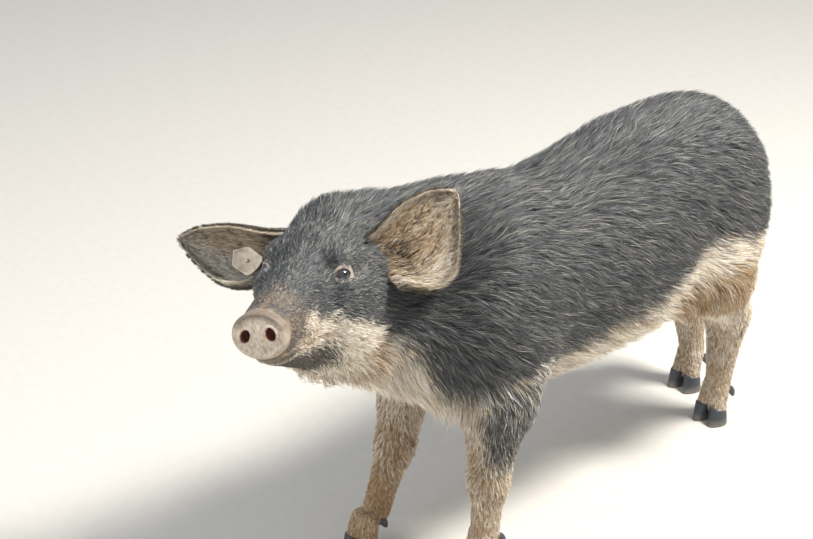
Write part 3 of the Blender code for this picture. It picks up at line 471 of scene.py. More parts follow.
def ear_axes(name):
    """Out to the tip, out of the hollow, and down across the ear."""
    _, reach, facing, _, _, _ = EARS[name]
    along = unit(HEAD @ np.array(reach))
    inner = HEAD @ np.array(facing)
    inner = unit(inner - along * (inner @ along))
    down = np.cross(along, inner)
    return along, inner, down * -np.sign(down @ HEAD[:, 2])


def half_curl(name, share):
    """Half of the angle that the cup of an ear goes round, at a share of its length."""
    return EARS[name][3] * np.radians(42 + 38 * (1 - share) ** 2)


def on_sheet(grid, rows, columns):
    """Values of a grid of points between its nodes."""
    row = np.clip(rows, 0, grid.shape[0] - 1.001)
    column = np.clip(columns, 0, grid.shape[1] - 1.001)
    i, j = row.astype(int), column.astype(int)
    a, b = (row - i)[:, None], (column - j)[:, None]
    near = grid[i, j] * (1 - b) + grid[i, j + 1] * b
    far = grid[i + 1, j] * (1 - b) + grid[i + 1, j + 1] * b
    return near * (1 - a) + far * a


def ear_middle(name, rows, columns, folded=1.0):
    """The cupped sheet of an ear from its root to its tip, with its rolled edge and its inner folds."""
    place, _, _, _, length, breadth = EARS[name]
    root = from_head(place)
    along, inner, down = ear_axes(name)
    share = np.linspace(0.0, 1.0, rows)[:, None]
    turn = np.linspace(-1.0, 1.0, columns)[None, :]
    half_breadths = (0.040, 0.053, 0.052, 0.036, 0.018, 0.0075, 0.0022)
    half = eased(share, (0, 0.2, 0.45, 0.7, 0.88, 0.97, 1), half_breadths)
    drop = eased(share, (0, 0.2, 0.5, 0.8, 1), (0.0104, 0.0215, 0.0192, 0.0074, 0.000))
    half_angle = half_curl(name, share)
    radius = breadth * half / half_angle
    swing = half_angle * turn
    rolled = 0.0045 * ramp(np.abs(turn), 0.80, 1.0) ** 2 * ramp(share, 0.05, 0.3)
    folds = np.sin(math.tau * (2.6 * turn + 0.5 * share))
    folds = folds * ramp(-share, -0.85, -0.2) * ramp(-np.abs(turn), -0.9, -0.6)
    out = (share - 0.2 * (1 - share)) * length
    rise = radius * (1 - np.cos(swing)) + folded * (rolled + 0.0013 * folds) - 0.012 * share**2
    fall = radius * np.sin(swing) * (1 - 0.05 * ramp(np.abs(turn), 0.8, 1.0)) + drop
    middle = root + out[..., None] * along + fall[..., None] * down + rise[..., None] * inner
    normals = np.cross(np.gradient(middle, axis=0), np.gradient(middle, axis=1))
    normals /= np.maximum(np.linalg.norm(normals, axis=-1, keepdims=True), 1e-9)
    normals *= np.sign((normals * inner).sum(axis=-1).mean())
    return middle, normals


# Each ear's root, the ways that it reaches and faces in the head's frame, its curl, length and breadth.
EARS = {
    "ear_left": ((0.063, 0.236, 0.052), (0.60, 0.60, 0.50), (0.45, -0.85, 0.20), 0.86, 0.112, 1.13),
    "ear_right": ((-0.074, 0.230, 0.053), (-0.97, 0.02, -0.04), (-0.10, -0.93, 0.25), 1.15, 0.128, 0.88),
}
EAR_ROWS, EAR_COLUMNS = 40, 44
TAIL_ROUTE = np.array(
    (
        (0.000, 0.325, 0.425),
        (0.000, 0.356, 0.430),
        (0.002, 0.380, 0.414),
        (0.006, 0.391, 0.376),
        (0.013, 0.388, 0.334),
        (0.010, 0.380, 0.294),
        (-0.002, 0.378, 0.266),
    )
)
TAIL_RADII = 0.0092 * np.array((1.25, 1.12, 0.95, 0.80, 0.66, 0.52, 0.36))


def sheet_faces(rows, columns, first=0, flip=False):
    grid = first + np.arange(rows * columns).reshape(rows, columns)
    faces = np.stack([grid[:-1, :-1], grid[:-1, 1:], grid[1:, 1:], grid[1:, :-1]], axis=-1).reshape(-1, 4)
    return faces[:, ::-1] if flip else faces


def ear_skin(name):
    """Inner and outer face of an ear, joined round the edge; thin at the tip, thick where it is rooted."""
    middle, normals = ear_middle(name, EAR_ROWS, EAR_COLUMNS)
    thick = np.linspace(0.0038, 0.0014, EAR_ROWS)[:, None, None]
    edge = 1.0 - 0.35 * np.abs(np.linspace(-1, 1, EAR_COLUMNS))[None, :, None] ** 4
    front = middle + 0.5 * thick * edge * normals
    rear = middle - 0.5 * thick * edge * normals
    count = EAR_ROWS * EAR_COLUMNS
    grid = np.arange(count).reshape(EAR_ROWS, EAR_COLUMNS)
    border = np.concatenate([grid[0], grid[1:, -1], grid[-1, -2::-1], grid[-2:0:-1, 0]])
    after = np.roll(border, -1)
    rim = np.stack([after, border, border + count, after + count], axis=1)
    back = sheet_faces(EAR_ROWS, EAR_COLUMNS, count, True)
    faces = np.concatenate([sheet_faces(EAR_ROWS, EAR_COLUMNS), back, rim])
    across, out = middle[1, 2] - middle[1, 1], middle[2, 1] - middle[1, 1]
    if np.cross(across, out) @ normals[1, 1] < 0:
        faces = faces[:, ::-1]
    return np.concatenate([front.reshape(-1, 3), rear.reshape(-1, 3)]), faces


def rings_round(path, radii, along, across, angles):
    """Rings of points round a path."""
    across = unit(across)
    other = np.cross(along, across)
    angles = angles[None, :, None]
    ways = np.cos(angles) * across[:, None] + np.sin(angles) * other[:, None]
    return path[:, None] + radii[:, None, None] * ways


def tail_skin(count=48, sides=14):
    path = smooth_path(TAIL_ROUTE, count)
    radii = np.interp(np.linspace(0, 1, count), np.linspace(0, 1, len(TAIL_RADII)), TAIL_RADII)
    along = unit(np.gradient(path, axis=0))
    across = np.cross(along, (0.0, 0.3, 1.0))
    across = np.where(np.linalg.norm(across, axis=1, keepdims=True) < 0.2, (1.0, 0.0, 0.0), across)
    across[:, 0] = np.abs(across[:, 0])
    rings = rings_round(path, radii, along, across, np.linspace(0, math.tau, sides + 1))
    return rings.reshape(-1, 3), sheet_faces(count, sides + 1)


body_net, body_quads = net_over(body_shape, (-0.160, -0.500, 0.004), (0.190, 0.430, 0.560), BODY_STEP)
body_net = onto_surface(body_shape, body_net)
body_net, body_quads = kept_faces(body_net, body_quads, in_head(body_net)[:, 1] > FACE_END - FACE_OVERLAP)
face_net, face_quads = net_over(face_shape, (-0.084, -0.014, -0.120), (0.084, FACE_END, 0.100), FACE_STEP)
face_net = onto_surface(face_shape, face_net, rounds=1)


def linear(code):
    """An sRGB hex colour as linear numbers."""
    channels = [int(code[i : i + 2], 16) / 255 for i in (1, 3, 5)]
    return np.array([c / 12.92 if c <= 0.04045 else ((c + 0.055) / 1.055) ** 2.4 for c in channels])


# Where the slate mantle ends: height along the trunk, and height along the face in its own frame.
PART_LINE = (
    (-0.33, 0.352), (-0.3, 0.335), (-0.285, 0.31), (-0.265, 0.285), (-0.24, 0.281), (-0.21, 0.286),
    (-0.19, 0.297), (-0.165, 0.3), (-0.13, 0.293), (-0.09, 0.294), (-0.04, 0.298), (0.0, 0.301),
    (0.035, 0.303), (0.06, 0.306), (0.09, 0.312), (0.11, 0.322), (0.135, 0.334), (0.155, 0.35),
    (0.2, 0.35), (0.26, 0.341), (0.33, 0.33),
)
FACE_LINE = (
    (0.02, 0.02), (0.05, 0.014), (0.08, 0.006), (0.11, -0.003), (0.15, -0.021), (0.19, -0.029),
    (0.22, -0.045), (0.26, -0.078),
)


def markings(points):
    """Shares of the slate mantle, brown shading, dark chin and bare muzzle at each place on the pig."""
    local = in_head(points)
    left, back, up = np.moveaxis(local, -1, 0)
    x, y, z = np.moveaxis(points, -1, 0)
    ragged = 0.0055 * smooth_waves(points, (0.030, 0.070), 21)
    mantle = ramp(z - np.interp(y, *np.transpose(PART_LINE)) + ragged, -0.010, 0.010)
    mask = ramp(up - np.interp(back, *np.transpose(FACE_LINE)) + ragged, -0.008, 0.008)
    on_head = ramp(-back, -0.27, -0.23) * ramp(-y, 0.20, 0.26)
    slate = mantle * (1 - on_head) + mask * on_head
    chin = ramp(-up + 0.4 * ragged, 0.028, 0.040) * ramp(-back + ragged, -0.140, -0.110)
    chin = chin * on_head * ramp(-np.abs(left), -0.050, -0.038)
    muzzle = ramp(-back + 0.8 * ragged, -0.070, -0.036) * on_head * (1 - chin)
    arm = ramp(np.abs(x), 0.086, 0.100) * ramp(z, 0.142, 0.175)
    arm = arm * ramp(y, -0.246, -0.222) * ramp(-y, 0.13, 0.16)
    slate = np.maximum(slate, 0.85 * arm * ramp(-z, -0.30, -0.28))
    # Brown shading: muddy shins, the thigh over the knee, the throat and a patch under the cheek.
    shin = ramp(-z, -0.250, -0.150)
    knee = ramp(-z, -0.318, -0.300) * ramp(z, 0.215, 0.245) * ramp(y, 0.10, 0.14)
    throat = 0.5 * ramp(-z, -0.30, -0.26) * ramp(-y, 0.20, 0.26) * (1 - on_head)
    cheek = 0.55 * np.exp(-((back - 0.205) ** 2 / 0.0010 + (up + 0.072) ** 2 / 0.0004)) * on_head
    brown = 0.42 * shin + 0.85 * knee + throat + cheek + 0.15 * smooth_waves(points, (0.05,), 8)
    brown = np.clip(brown, 0.0, 1.0)
    return {"slate": slate, "brown": brown, "chin": chin, "muzzle": muzzle, "head": on_head}


def plain(shape, code):
    return np.zeros(shape + (3,)) + linear(code)


def mixed(base, colour, share):
    return base + (linear(colour) - base) * np.asarray(share)[..., None]


def layered(base, *layers):
    """A colour with others laid over it, each by its share."""
    for colour, share in layers:
        base = mixed(base, colour, share)
    return base


def hide_colour(points):
    """The hide itself: slate under the mantle, pinkish straw below, brown and muddy on the muzzle."""
    marks = markings(points)
    local = in_head(points)
    left, back, up = np.moveaxis(local, -1, 0)
    mud = ramp(smooth_waves(local, (0.007, 0.015, 0.03), 31), -0.6, 1.2)
    dirt = ramp(smooth_waves(local, (0.003, 0.006, 0.013), 33), -0.1, 1.1)
    specks = ramp(smooth_waves(local, (0.002, 0.005), 35), 0.6, 1.4)
    plate = ramp(-back + 0.0010 * smooth_waves(local, (0.006, 0.012), 36), -0.0095, -0.0065) * marks["head"]
    radial = np.hypot(left / NOSE_HALF_WIDTH, up / NOSE_HALF_HEIGHT)
    rim = ramp(radial + 0.25 * ramp(up, 0.0, 0.02), 0.86, 1.12)
    colour = layered(
        plain(points.shape[:-1], "#ab9880"),
        ("#8c6d4e", marks["brown"]),
        ("#2f3237", marks["slate"]),
        ("#4d4743", marks["chin"]),
        ("#524c48", 0.85 * marks["muzzle"]),
        ("#84705a", 0.75 * mud * marks["muzzle"]),
        ("#cbbca9", plate),
        ("#a48c6c", 0.75 * plate * dirt),
        ("#857a6e", 0.40 * plate * specks),
        ("#64584c", plate * rim * 0.80),
    )
    for side in (1, -1):
        hole = np.linalg.norm((local - nostril(side, 0.004)) / (0.0066, 0.0120, 0.0086), axis=-1)
        colour = mixed(colour, "#8a5146", plate * ramp(-hole, -1.22, -0.95))
        around = np.linalg.norm(local - in_head(EYES[side][0]), axis=-1)
        corner = in_head(EYES[side][0] + EYES[side][1] @ np.array((side * -0.019, 0.004, -0.003)))
        streak = np.exp(-((np.linalg.norm(local - corner, axis=-1) / 0.0055) ** 2))
        lid = np.maximum(ramp(-around, -0.0185, -0.0150), 0.8 * streak)
        lash_line = ramp(-around, -0.0128, -0.0120)
        colour = layered(
            colour, ("#a0968a", 0.9 * lid * marks["head"]), ("#3a302c", lash_line * marks["head"])
        )
    lips = cord_of(local, MOUTH, [0.002] * len(MOUTH))
    return mixed(colour, "#3f3a38", ramp(-lips, -0.002, 0.0) * marks["head"] * 0.8)


def ear_colour(name):
    """Cream edges, a brown hollow with dark streaks inside and painted shade deep in the hollow at the root;
    slate outside.
    """
    share = np.linspace(0.0, 1.0, EAR_ROWS)[:, None] + np.zeros((1, EAR_COLUMNS))
    turn = np.linspace(-1.0, 1.0, EAR_COLUMNS)[None, :] + np.zeros((EAR_ROWS, 1))
    if name == "ear_right":
        inner = layered(
            plain(turn.shape, "#aba091"),
            ("#8c8882", ramp(turn, 0.0, 0.5)),
            ("#957654", ramp(-turn, -0.3, 0.2) * ramp(-share, -0.7, -0.4)),
        )
    else:
        inner = layered(
            plain(turn.shape, "#8a7258"),
            ("#b3a48e", ramp(-turn, 0.55, 0.85)),
            ("#c6ae99", ramp(turn, 0.30, 0.7) * ramp(-share, -0.75, -0.5)),
            ("#6f675d", ramp(share, 0.55, 0.8) * ramp(-np.abs(turn), -0.8, -0.5)),
        )
    # Painted shade: the inside darkened towards the root, deep in the ear's hollow.
    inner = mixed(inner, "#2f2a28", 0.6 * ramp(-share, -0.25, -0.1))
    rim = ramp(np.abs(turn), 0.86, 0.97)
    faces = [mixed(face, "#bdb1a0", rim) for face in (inner, plain(turn.shape, "#3f4349"))]
    return np.concatenate([face.reshape(-1, 3) for face in faces])


def placed(name, data):
    """A new object in the scene."""
    piece = bpy.data.objects.new(name, data)
    bpy.context.scene.collection.objects.link(piece)
    return piece


def mesh_piece(name, material, vertices, faces, colours=None):
    """A smooth mesh in the model's place, from arrays, with its colours as a point attribute."""
    mesh = bpy.data.meshes.new(name)
    faces = np.asarray(faces)
    corners = faces.shape[1]
    mesh.vertices.add(len(vertices))
    mesh.vertices.foreach_set("co", (np.asarray(vertices) + BODY_PLACE).astype(np.float32).ravel())
    mesh.loops.add(faces.size)
    mesh.loops.foreach_set("vertex_index", faces.astype(np.int32).ravel())
    mesh.polygons.add(len(faces))
    mesh.polygons.foreach_set("loop_start", np.arange(0, faces.size, corners, dtype=np.int32))
    mesh.update(calc_edges=True)
    mesh.shade_smooth()
    mesh.materials.append(material)
    if colours is not None:
        layer = mesh.attributes.new("pelt", "FLOAT_COLOR", "POINT")
        full = np.concatenate([colours, np.ones((len(colours), 1))], axis=1)
        layer.data.foreach_set("color", full.astype(np.float32).ravel())
    return placed(name, mesh)


def add_node(tree, kind, links, **settings):
    """One shader node with its settings and its inputs; an input is a value or another node's socket."""
    node = tree.nodes.new("ShaderNode" + kind)
    for key, value in settings.items():
        setattr(node, key, value)
    for key, value in links.items():
        if isinstance(value, bpy.types.NodeSocket):
            tree.links.new(value, node.inputs[key])
        else:
            node.inputs[key].default_value = value
    return node


def paint(code):
    return (*linear(code), 1)


def noise(tree, place, scale, detail=2.0):
    """Unevenness between 0 and 1, fixed to the object; a metre holds as many lumps as the scale says."""
    links = {"Vector": place.outputs["Object"], "Scale": scale, "Detail": detail}
    return add_node(tree, "TexNoise", links).outputs["Fac"]


def remapped(tree, value, **ends):
    """A value between new ends, such as From_Min or To_Max."""
    links = {key.replace("_", " "): end for key, end in ends.items()}
    return add_node(tree, "MapRange", {"Value": value, **links}).outputs["Result"]


def mixed_paint(tree, share, first, second):
    """The first colour where the share is 0 and the second where it is 1."""
    links = {"Factor": share, "A": first, "B": second}
    return add_node(tree, "Mix", links, data_type="RGBA").outputs["Result"]


def bumpy(tree, shader, height, strength, distance):
    bump = add_node(tree, "Bump", {"Height": height, "Strength": strength, "Distance": distance})
    tree.links.new(bump.outputs["Normal"], shader.inputs["Normal"])


def pelt_colour(tree, shader, place, scale, detail, low, high):
    """The colours painted on a piece's points, made uneven by noise."""
    pelt = add_node(tree, "Attribute", {}, attribute_name="pelt")
    shade = remapped(tree, noise(tree, place, scale, detail), To_Min=low, To_Max=high)
    tone = add_node(tree, "VectorMath", {0: pelt.outputs["Color"], "Scale": shade}, operation="SCALE")
    tree.links.new(tone.outputs["Vector"], shader.inputs["Base Color"])


def new_material(name, roughness, specular=0.5):
    """A material with one Principled shader, and its node tree."""
    made = bpy.data.materials.new(name)
    made.use_nodes = True
    shader = made.node_tree.nodes["Principled BSDF"]
    shader.inputs["Roughness"].default_value = roughness
    shader.inputs["Specular IOR Level"].default_value = specular
    return made, made.node_tree, shader


def pig_hide():
    """Live hide: pores half a millimetre wide, drawn 2 mm apart to show, slightly greasy."""
    made, tree, shader = new_material("pig_hide", 0.58, 0.4)
    place = add_node(tree, "TexCoord", {})
    pelt_colour(tree, shader, place, 90.0, 5.0, 0.72, 1.28)
    pores = add_node(tree, "TexVoronoi", {"Vector": place.outputs["Object"], "Scale": 520.0})
    grain = noise(tree, place, 260.0, 3.0)
    height = add_node(
        tree, "Math", {0: pores.outputs["Distance"], 1: 0.8, 2: grain}, operation="MULTIPLY_ADD"
    )
    bumpy(tree, shader, height.outputs["Value"], 0.5, 0.0006)
    return made


hide_parts = [(body_net, body_quads, hide_colour(body_net))]
face_world = from_head(face_net)
hide_parts.append((face_world, face_quads, hide_colour(face_world)))
for name in EARS:
    vertices, faces = ear_skin(name)
    hide_parts.append((vertices, faces, ear_colour(name)))
vertices, faces = tail_skin()
hide_parts.append((vertices, faces, plain(vertices.shape[:-1], "#3a3d42")))
firsts = np.cumsum([0] + [len(vertices) for vertices, _, _ in hide_parts])
hide = mesh_piece(
    "hide",
    pig_hide(),
    np.concatenate([vertices for vertices, _, _ in hide_parts]),
    np.concatenate([faces + first for (_, faces, _), first in zip(hide_parts, firsts)]),
    np.concatenate([colours for _, _, colours in hide_parts]),
)
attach(hide, "root")
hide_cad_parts("torso", "neck", "head", "tail", "ear_left", "ear_right", *("leg_" + name for name in FEET))


# The eyes: small wet balls of 23 mm, dark slate brown, the iris nearly as dark as its lying pupil,
# set under the lids with the clear front a little bulged.
CORNEA_RADIUS = 0.0062
CORNEA_RISE = 0.0009


def eyeball(side):
    build = bmesh.new()
    bmesh.ops.create_uvsphere(build, u_segments=48, v_segments=32, radius=EYE_RADIUS - 0.0001)
    for vert in build.verts:
        vert.co = Matrix.Rotation(math.radians(-90), 3, "X") @ vert.co
        from_front = math.hypot(vert.co.x, vert.co.z)
        if vert.co.y > 0 and from_front < CORNEA_RADIUS:
            vert.co.y += CORNEA_RISE * (1 - (from_front / CORNEA_RADIUS) ** 2)
    mesh = bpy.data.meshes.new("eyeball")
    build.to_mesh(mesh)
    build.free()
    mesh.shade_smooth()
    middle, axes = EYES[side]
    piece = placed("eyeball_left" if side == 1 else "eyeball_right", mesh)
    look = axes @ np.array(Matrix.Rotation(side * math.radians(16), 3, "Z"))
    piece.matrix_world = Matrix.Translation(Vector(middle + BODY_PLACE)) @ Matrix(look.tolist()).to_4x4()
    return piece


def wet_eye():
    """Cornea over iris: very smooth and wet, so that the lights show as sharp points."""
    made, tree, shader = new_material("wet_eye", 0.06, 0.6)
    shader.inputs["Coat Weight"].default_value = 1.0
    shader.inputs["Coat Roughness"].default_value = 0.02
    place = add_node(tree, "TexCoord", {})
    apart = add_node(tree, "SeparateXYZ", {"Vector": place.outputs["Object"]})
    flat = add_node(tree, "CombineXYZ", {"X": apart.outputs["X"], "Y": apart.outputs["Z"]})
    radius = add_node(tree, "VectorMath", {0: flat.outputs["Vector"]}, operation="LENGTH")
    narrow = add_node(tree, "Math", {0: apart.outputs["X"], 1: 0.62}, operation="MULTIPLY")
    lying = add_node(tree, "CombineXYZ", {"X": narrow.outputs["Value"], "Y": apart.outputs["Z"]})
    pupil = add_node(tree, "VectorMath", {0: lying.outputs["Vector"]}, operation="LENGTH")
    iris = mixed_paint(tree, noise(tree, place, 900.0), paint("#1b1a1e"), paint("#3b3d47"))
    edge = remapped(tree, radius.outputs["Value"], From_Min=CORNEA_RADIUS, From_Max=0.0070)
    white = mixed_paint(tree, edge, iris, paint("#3a2d28"))
    hole = remapped(tree, pupil.outputs["Value"], From_Min=0.0021, From_Max=0.0027)
    tree.links.new(mixed_paint(tree, hole, paint("#08080a"), white), shader.inputs["Base Color"])
    return made


cornea = wet_eye()
for side, name in ((1, "eye_left"), (-1, "eye_right")):
    ball = eyeball(side)
    ball.data.materials.append(cornea)
    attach(ball, "root")
    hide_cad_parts(name)


# The claws: two horn toes on each foot and two small dewclaws behind, grown in thin rings, slate grey
# with paler worn edges, rising to the slanting hairline.
CORONET_SLOPE = math.radians(16)
HOOF_TOE = 0.021
HOOF_HEEL = 0.015


def full_turn(count):
    """Angles evenly round a circle."""
    return np.linspace(0, math.tau, count, endpoint=False)


def belt_faces(rings, sides):
    """Quads between closed rings, one after another."""
    grid = np.arange(rings * sides).reshape(rings, sides)
    after = np.roll(grid, -1, axis=1)
    return np.stack([grid[:-1], after[:-1], after[1:], grid[1:]], axis=-1).reshape(-1, 4)


def toe_horn(leg, side, rings=14, sides=32):
    foot_x, foot_y = FEET[leg]
    share = np.linspace(0.0, 1.0, rings)[:, None]
    angle = full_turn(sides)[None, :]
    forward, outer = np.cos(angle), np.sin(angle)
    inwards = -side * outer
    top_x = side * TOE_SPREAD + 0.0121 * outer
    top_y = -0.0128 * forward
    top_z = CORONET_HEIGHT - math.tan(CORONET_SLOPE) * top_y
    reach = np.where(forward > 0, HOOF_TOE, HOOF_HEEL)
    width = 0.0128 - 0.0038 * np.maximum(forward, 0.0) ** 2 - 0.0018 * np.maximum(inwards, 0.0)
    sole_x = side * (TOE_SPREAD + 0.0008) + width * outer
    sole_y = -reach * forward
    bulge = 1.0 - (1.0 - share) ** 1.6
    ring = 1.0 + 0.012 * np.sin(math.tau * share * 5.0) * (1 - share)
    middle_x = side * TOE_SPREAD
    x = middle_x + (top_x - middle_x + (sole_x - top_x) * bulge) * ring
    y = (top_y + (sole_y - top_y) * share) * ring
    z = top_z * (1.0 - share)
    places = np.stack([foot_x + x, foot_y - 0.008 + y, z + 0 * x], axis=-1)
    sole_middle = np.array((foot_x + middle_x, foot_y - 0.010, 0))
    inset = places[-1] * (0.93, 0.93, 1) + sole_middle * (0.07, 0.07, 0)
    cap = places[0] * 0.4 + places[0].mean(axis=0) * 0.6
    cap[:, 2] += 0.001
    base = inset * 0.05 + inset.mean(axis=0) * 0.95
    stack = np.concatenate([cap[None], places, inset[None], base[None]])
    return stack.reshape(-1, 3), belt_faces(len(stack), sides)[:, ::-1]


def dew_horn(leg, side, rings=9, sides=16):
    foot_x, foot_y = FEET[leg]
    route = np.array(
        (
            (foot_x + side * 0.0085, foot_y + 0.004, 0.052),
            (foot_x + side * 0.0132, foot_y + 0.0175, 0.0445),
            (foot_x + side * 0.0145, foot_y + 0.0235, 0.033),
        )
    )
    path = smooth_path(route, rings)
    radii = np.interp(np.linspace(0, 1, rings), (0, 0.5, 0.85, 1), (0.0058, 0.0060, 0.0038, 0.0014))
    along = unit(np.gradient(path, axis=0))
    places = rings_round(path, radii, along, np.cross(along, (1.0, 0.0, 0.0)), full_turn(sides))
    return places.reshape(-1, 3), belt_faces(rings, sides)


def slate_horn():
    """Hoof horn: keratin in growth rings about 1.5 mm apart, satin, scuffed paler towards the ground."""
    made, tree, shader = new_material("slate_horn", 0.46)
    place = add_node(tree, "TexCoord", {})
    apart = add_node(tree, "SeparateXYZ", {"Vector": place.outputs["Object"]})
    scuffs = noise(tree, place, 160.0, 6.0)
    low = remapped(tree, apart.outputs["Z"], From_Min=0.012, From_Max=0.0)
    worn = add_node(tree, "Math", {0: low, 1: scuffs}, operation="MULTIPLY")
    tone = mixed_paint(tree, worn.outputs["Value"], paint("#3c3f45"), paint("#9a8f80"))
    tree.links.new(tone, shader.inputs["Base Color"])
    rings = add_node(
        tree, "TexWave",
        {"Vector": place.outputs["Object"], "Scale": 210.0, "Distortion": 1.5}, bands_direction="Z"
    )
    bumpy(tree, shader, rings.outputs["Fac"], 0.4, 0.0004)
    return made


horn = slate_horn()
for leg in FEET:
    for side, place in ((1, "left"), (-1, "right")):
        for made, node in ((toe_horn(leg, side), "hoof"), (dew_horn(leg, side), "dewclaw")):
            claw = mesh_piece(f"horn_{node}_{leg}_{place}", horn, *made)
            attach(claw, "root")
            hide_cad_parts(f"{node}_{leg}_{place}")


# The ear tag: a blank cream plate moulded in polyurethane, pinned through the right ear by a stud
# with a round head, a few scuffs and some dust on it.
TAG_SIZE = (0.036, 0.030, 0.0018)
TAG_PIN_RADIUS = 0.0024
TAG_LIFT = 0.0100
TAG_ROWS, TAG_COLUMNS = 8, 9
TAG_ROW, TAG_COLUMN = 2.48, 4.40
TAG_TURN = math.radians(-28)
TAG_TILT = math.radians(15)


def tag_axes():
    """Where the pin crosses the ear's middle, the stud's axes and the tilted plate's axes."""
    middle, _ = ear_middle("ear_right", TAG_ROWS, TAG_COLUMNS, folded=0.0)
    _, inner, down = ear_axes("ear_right")
    share = np.linspace(0.0, 1.0, TAG_ROWS)[:, None, None]
    swing = half_curl("ear_right", share) * np.linspace(-1.0, 1.0, TAG_COLUMNS)[None, :, None]
    outs = inner * np.cos(swing) - down * np.sin(swing)
    centre, out = (on_sheet(grid, np.array([TAG_ROW]), np.array([TAG_COLUMN]))[0] for grid in (middle, outs))
    out = unit(out)
    row, column = int(TAG_ROW), int(TAG_COLUMN)
    along = middle[row + 1, column] - middle[row, column]
    along = unit(along - out * (along @ out))
    turn = np.array(Matrix.Rotation(TAG_TURN, 3, Vector(out)))
    axes = np.stack([turn @ along, turn @ np.cross(out, along), out], axis=1)
    return centre, axes, axes @ np.array(Matrix.Rotation(TAG_TILT, 3, "X"))


def ringed(rings):
    """Faces between closed rings, with the first and last drawn in to a point."""
    rings = np.array(rings)
    rings = np.concatenate([rings[:1] * 0.02 + rings[:1].mean(axis=1, keepdims=True) * 0.98, rings])
    rings = np.concatenate([rings, rings[-1:] * 0.02 + rings[-1:].mean(axis=1, keepdims=True) * 0.98])
    return rings.reshape(-1, 3), belt_faces(*rings.shape[:2])


def tag_plate():
    centre, pin, axes = tag_axes()
    centre = centre + pin[:, 2] * TAG_LIFT
    length, width, thick = TAG_SIZE
    outline = [(-0.34, -0.5), (0.30, -0.5), (0.62, 0.0), (0.30, 0.5), (-0.34, 0.5)]
    outline += [(-0.34 - 0.14 * math.sin(a), 0.5 * math.cos(a)) for a in np.radians((45, 90, 135))]
    outline = np.array(outline) * (length, width)
    before, after = np.roll(outline, 1, axis=0), np.roll(outline, -1, axis=0)
    arriving, leaving = (0.84 * outline + 0.16 * other for other in (before, after))
    rounded = np.stack([arriving, 0.97 * outline + 0.015 * (before + after), leaving], axis=1).reshape(-1, 2)
    heights = (0.0, 0.12, 0.3, 0.7, 0.88, 1.0, 1.0, 0.8)
    shrinks = (0.97, 0.99, 1.0, 1.0, 0.99, 0.97, 0.93, 0.91)
    rings = []
    for height, shrink in zip(heights, shrinks):
        rings.append([centre + axes @ np.array((x * shrink, y * shrink, thick * height)) for x, y in rounded])
    return ringed(rings)


def tag_stud():
    centre, axes, _ = tag_axes()
    top = TAG_LIFT + TAG_SIZE[2] + 0.0006
    turns = full_turn(28)
    rings = []
    for height, radius in (
        (-0.0046, 0.0068),
        (-0.0043, 0.0077),
        (-0.0034, 0.0085),
        (-0.0022, 0.0085),
        (-0.0022, TAG_PIN_RADIUS),
        (top, TAG_PIN_RADIUS),
        (top + 0.0016, TAG_PIN_RADIUS),
        (top + 0.0022, TAG_PIN_RADIUS * 0.85),
        (top + 0.0024, TAG_PIN_RADIUS * 0.6),
        (top + 0.0010, TAG_PIN_RADIUS * 0.45),
    ):
        ring = [(radius * math.cos(turn), radius * math.sin(turn), height) for turn in turns]
        rings.append([centre + axes @ np.array(place) for place in ring])
    return ringed(rings)


def moulded_polyurethane():
    """Soft tag plastic: satin, faintly uneven from the mould, dulled by dust in broad soft patches."""
    made, tree, shader = new_material("moulded_polyurethane", 0.42)
    place = add_node(tree, "TexCoord", {})
    dust = noise(tree, place, 85.0, 7.0)
    shade = remapped(tree, dust, From_Min=0.42, From_Max=0.72)
    tone = mixed_paint(tree, shade, paint("#e9dcc8"), paint("#b39d80"))
    tree.links.new(tone, shader.inputs["Base Color"])
    tree.links.new(remapped(tree, dust, To_Min=0.3, To_Max=0.7), shader.inputs["Roughness"])
    bumpy(tree, shader, noise(tree, place, 900.0), 0.3, 0.0002)
    return made


tag_plastic = moulded_polyurethane()
for made, node in ((tag_plate(), "ear_tag_plate"), (tag_stud(), "ear_tag_stud")):
    piece = mesh_piece("moulded_" + node, tag_plastic, *made)
    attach(piece, "root")
    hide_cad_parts(node)


# The coat: coarse flat bristles in small tufts that lie back over one another like thatch, short on
# the face and feet, longest under the throat and on the tail. Each tuft is rooted in the hide. The
# bristles are drawn two to three times as thick as real ones of 0.2 mm, to show.
HAIRS = 8
TUFTS = 50000
EAR_TUFTS = 3900
TAIL_TUFTS = 1500
PATCH = 0.003
ROOT_DEPTH = 0.0006
USUAL_LENGTH, USUAL_WIDTH = 0.042, 0.00058
EAR_HAIR_WIDTH, EAR_TUFT_SPREAD = 0.00048, 0.0020
TAIL_HAIR_WIDTH, TAIL_TUFT_SPREAD = 0.0006, 0.0018
TUFT_SPREAD = 0.0036
LONGEST = {"trunk": 0.036, "neck": 0.034, "leg": 0.0110, "throat": 0.050}


def on_legs(points):
    nearest = np.min([leg_shape(points, name) for name in FEET], axis=0)
    return ramp(-nearest, -0.030, -0.012) * ramp(-points[..., 2], -0.315, -0.245)


def coat_regions(points, normals):
    """Share of each kind of coat at each place; the shares add up to one."""
    back = in_head(points)[..., 1]
    leg = on_legs(points)
    head = ramp(-back, -0.29, -0.23) * (1 - leg)
    throat = ramp(-normals[..., 2], 0.30, 0.65) * ramp(-points[..., 1], 0.14, 0.20)
    throat = throat * (1 - leg) * ramp(back, 0.10, 0.19)
    head = head * (1 - throat)
    neck = ramp(-points[..., 1], 0.10, 0.20) * (1 - leg) * (1 - throat) * (1 - head)
    return {"leg": leg, "throat": throat, "head": head, "neck": neck, "trunk": 1 - leg - throat - head - neck}


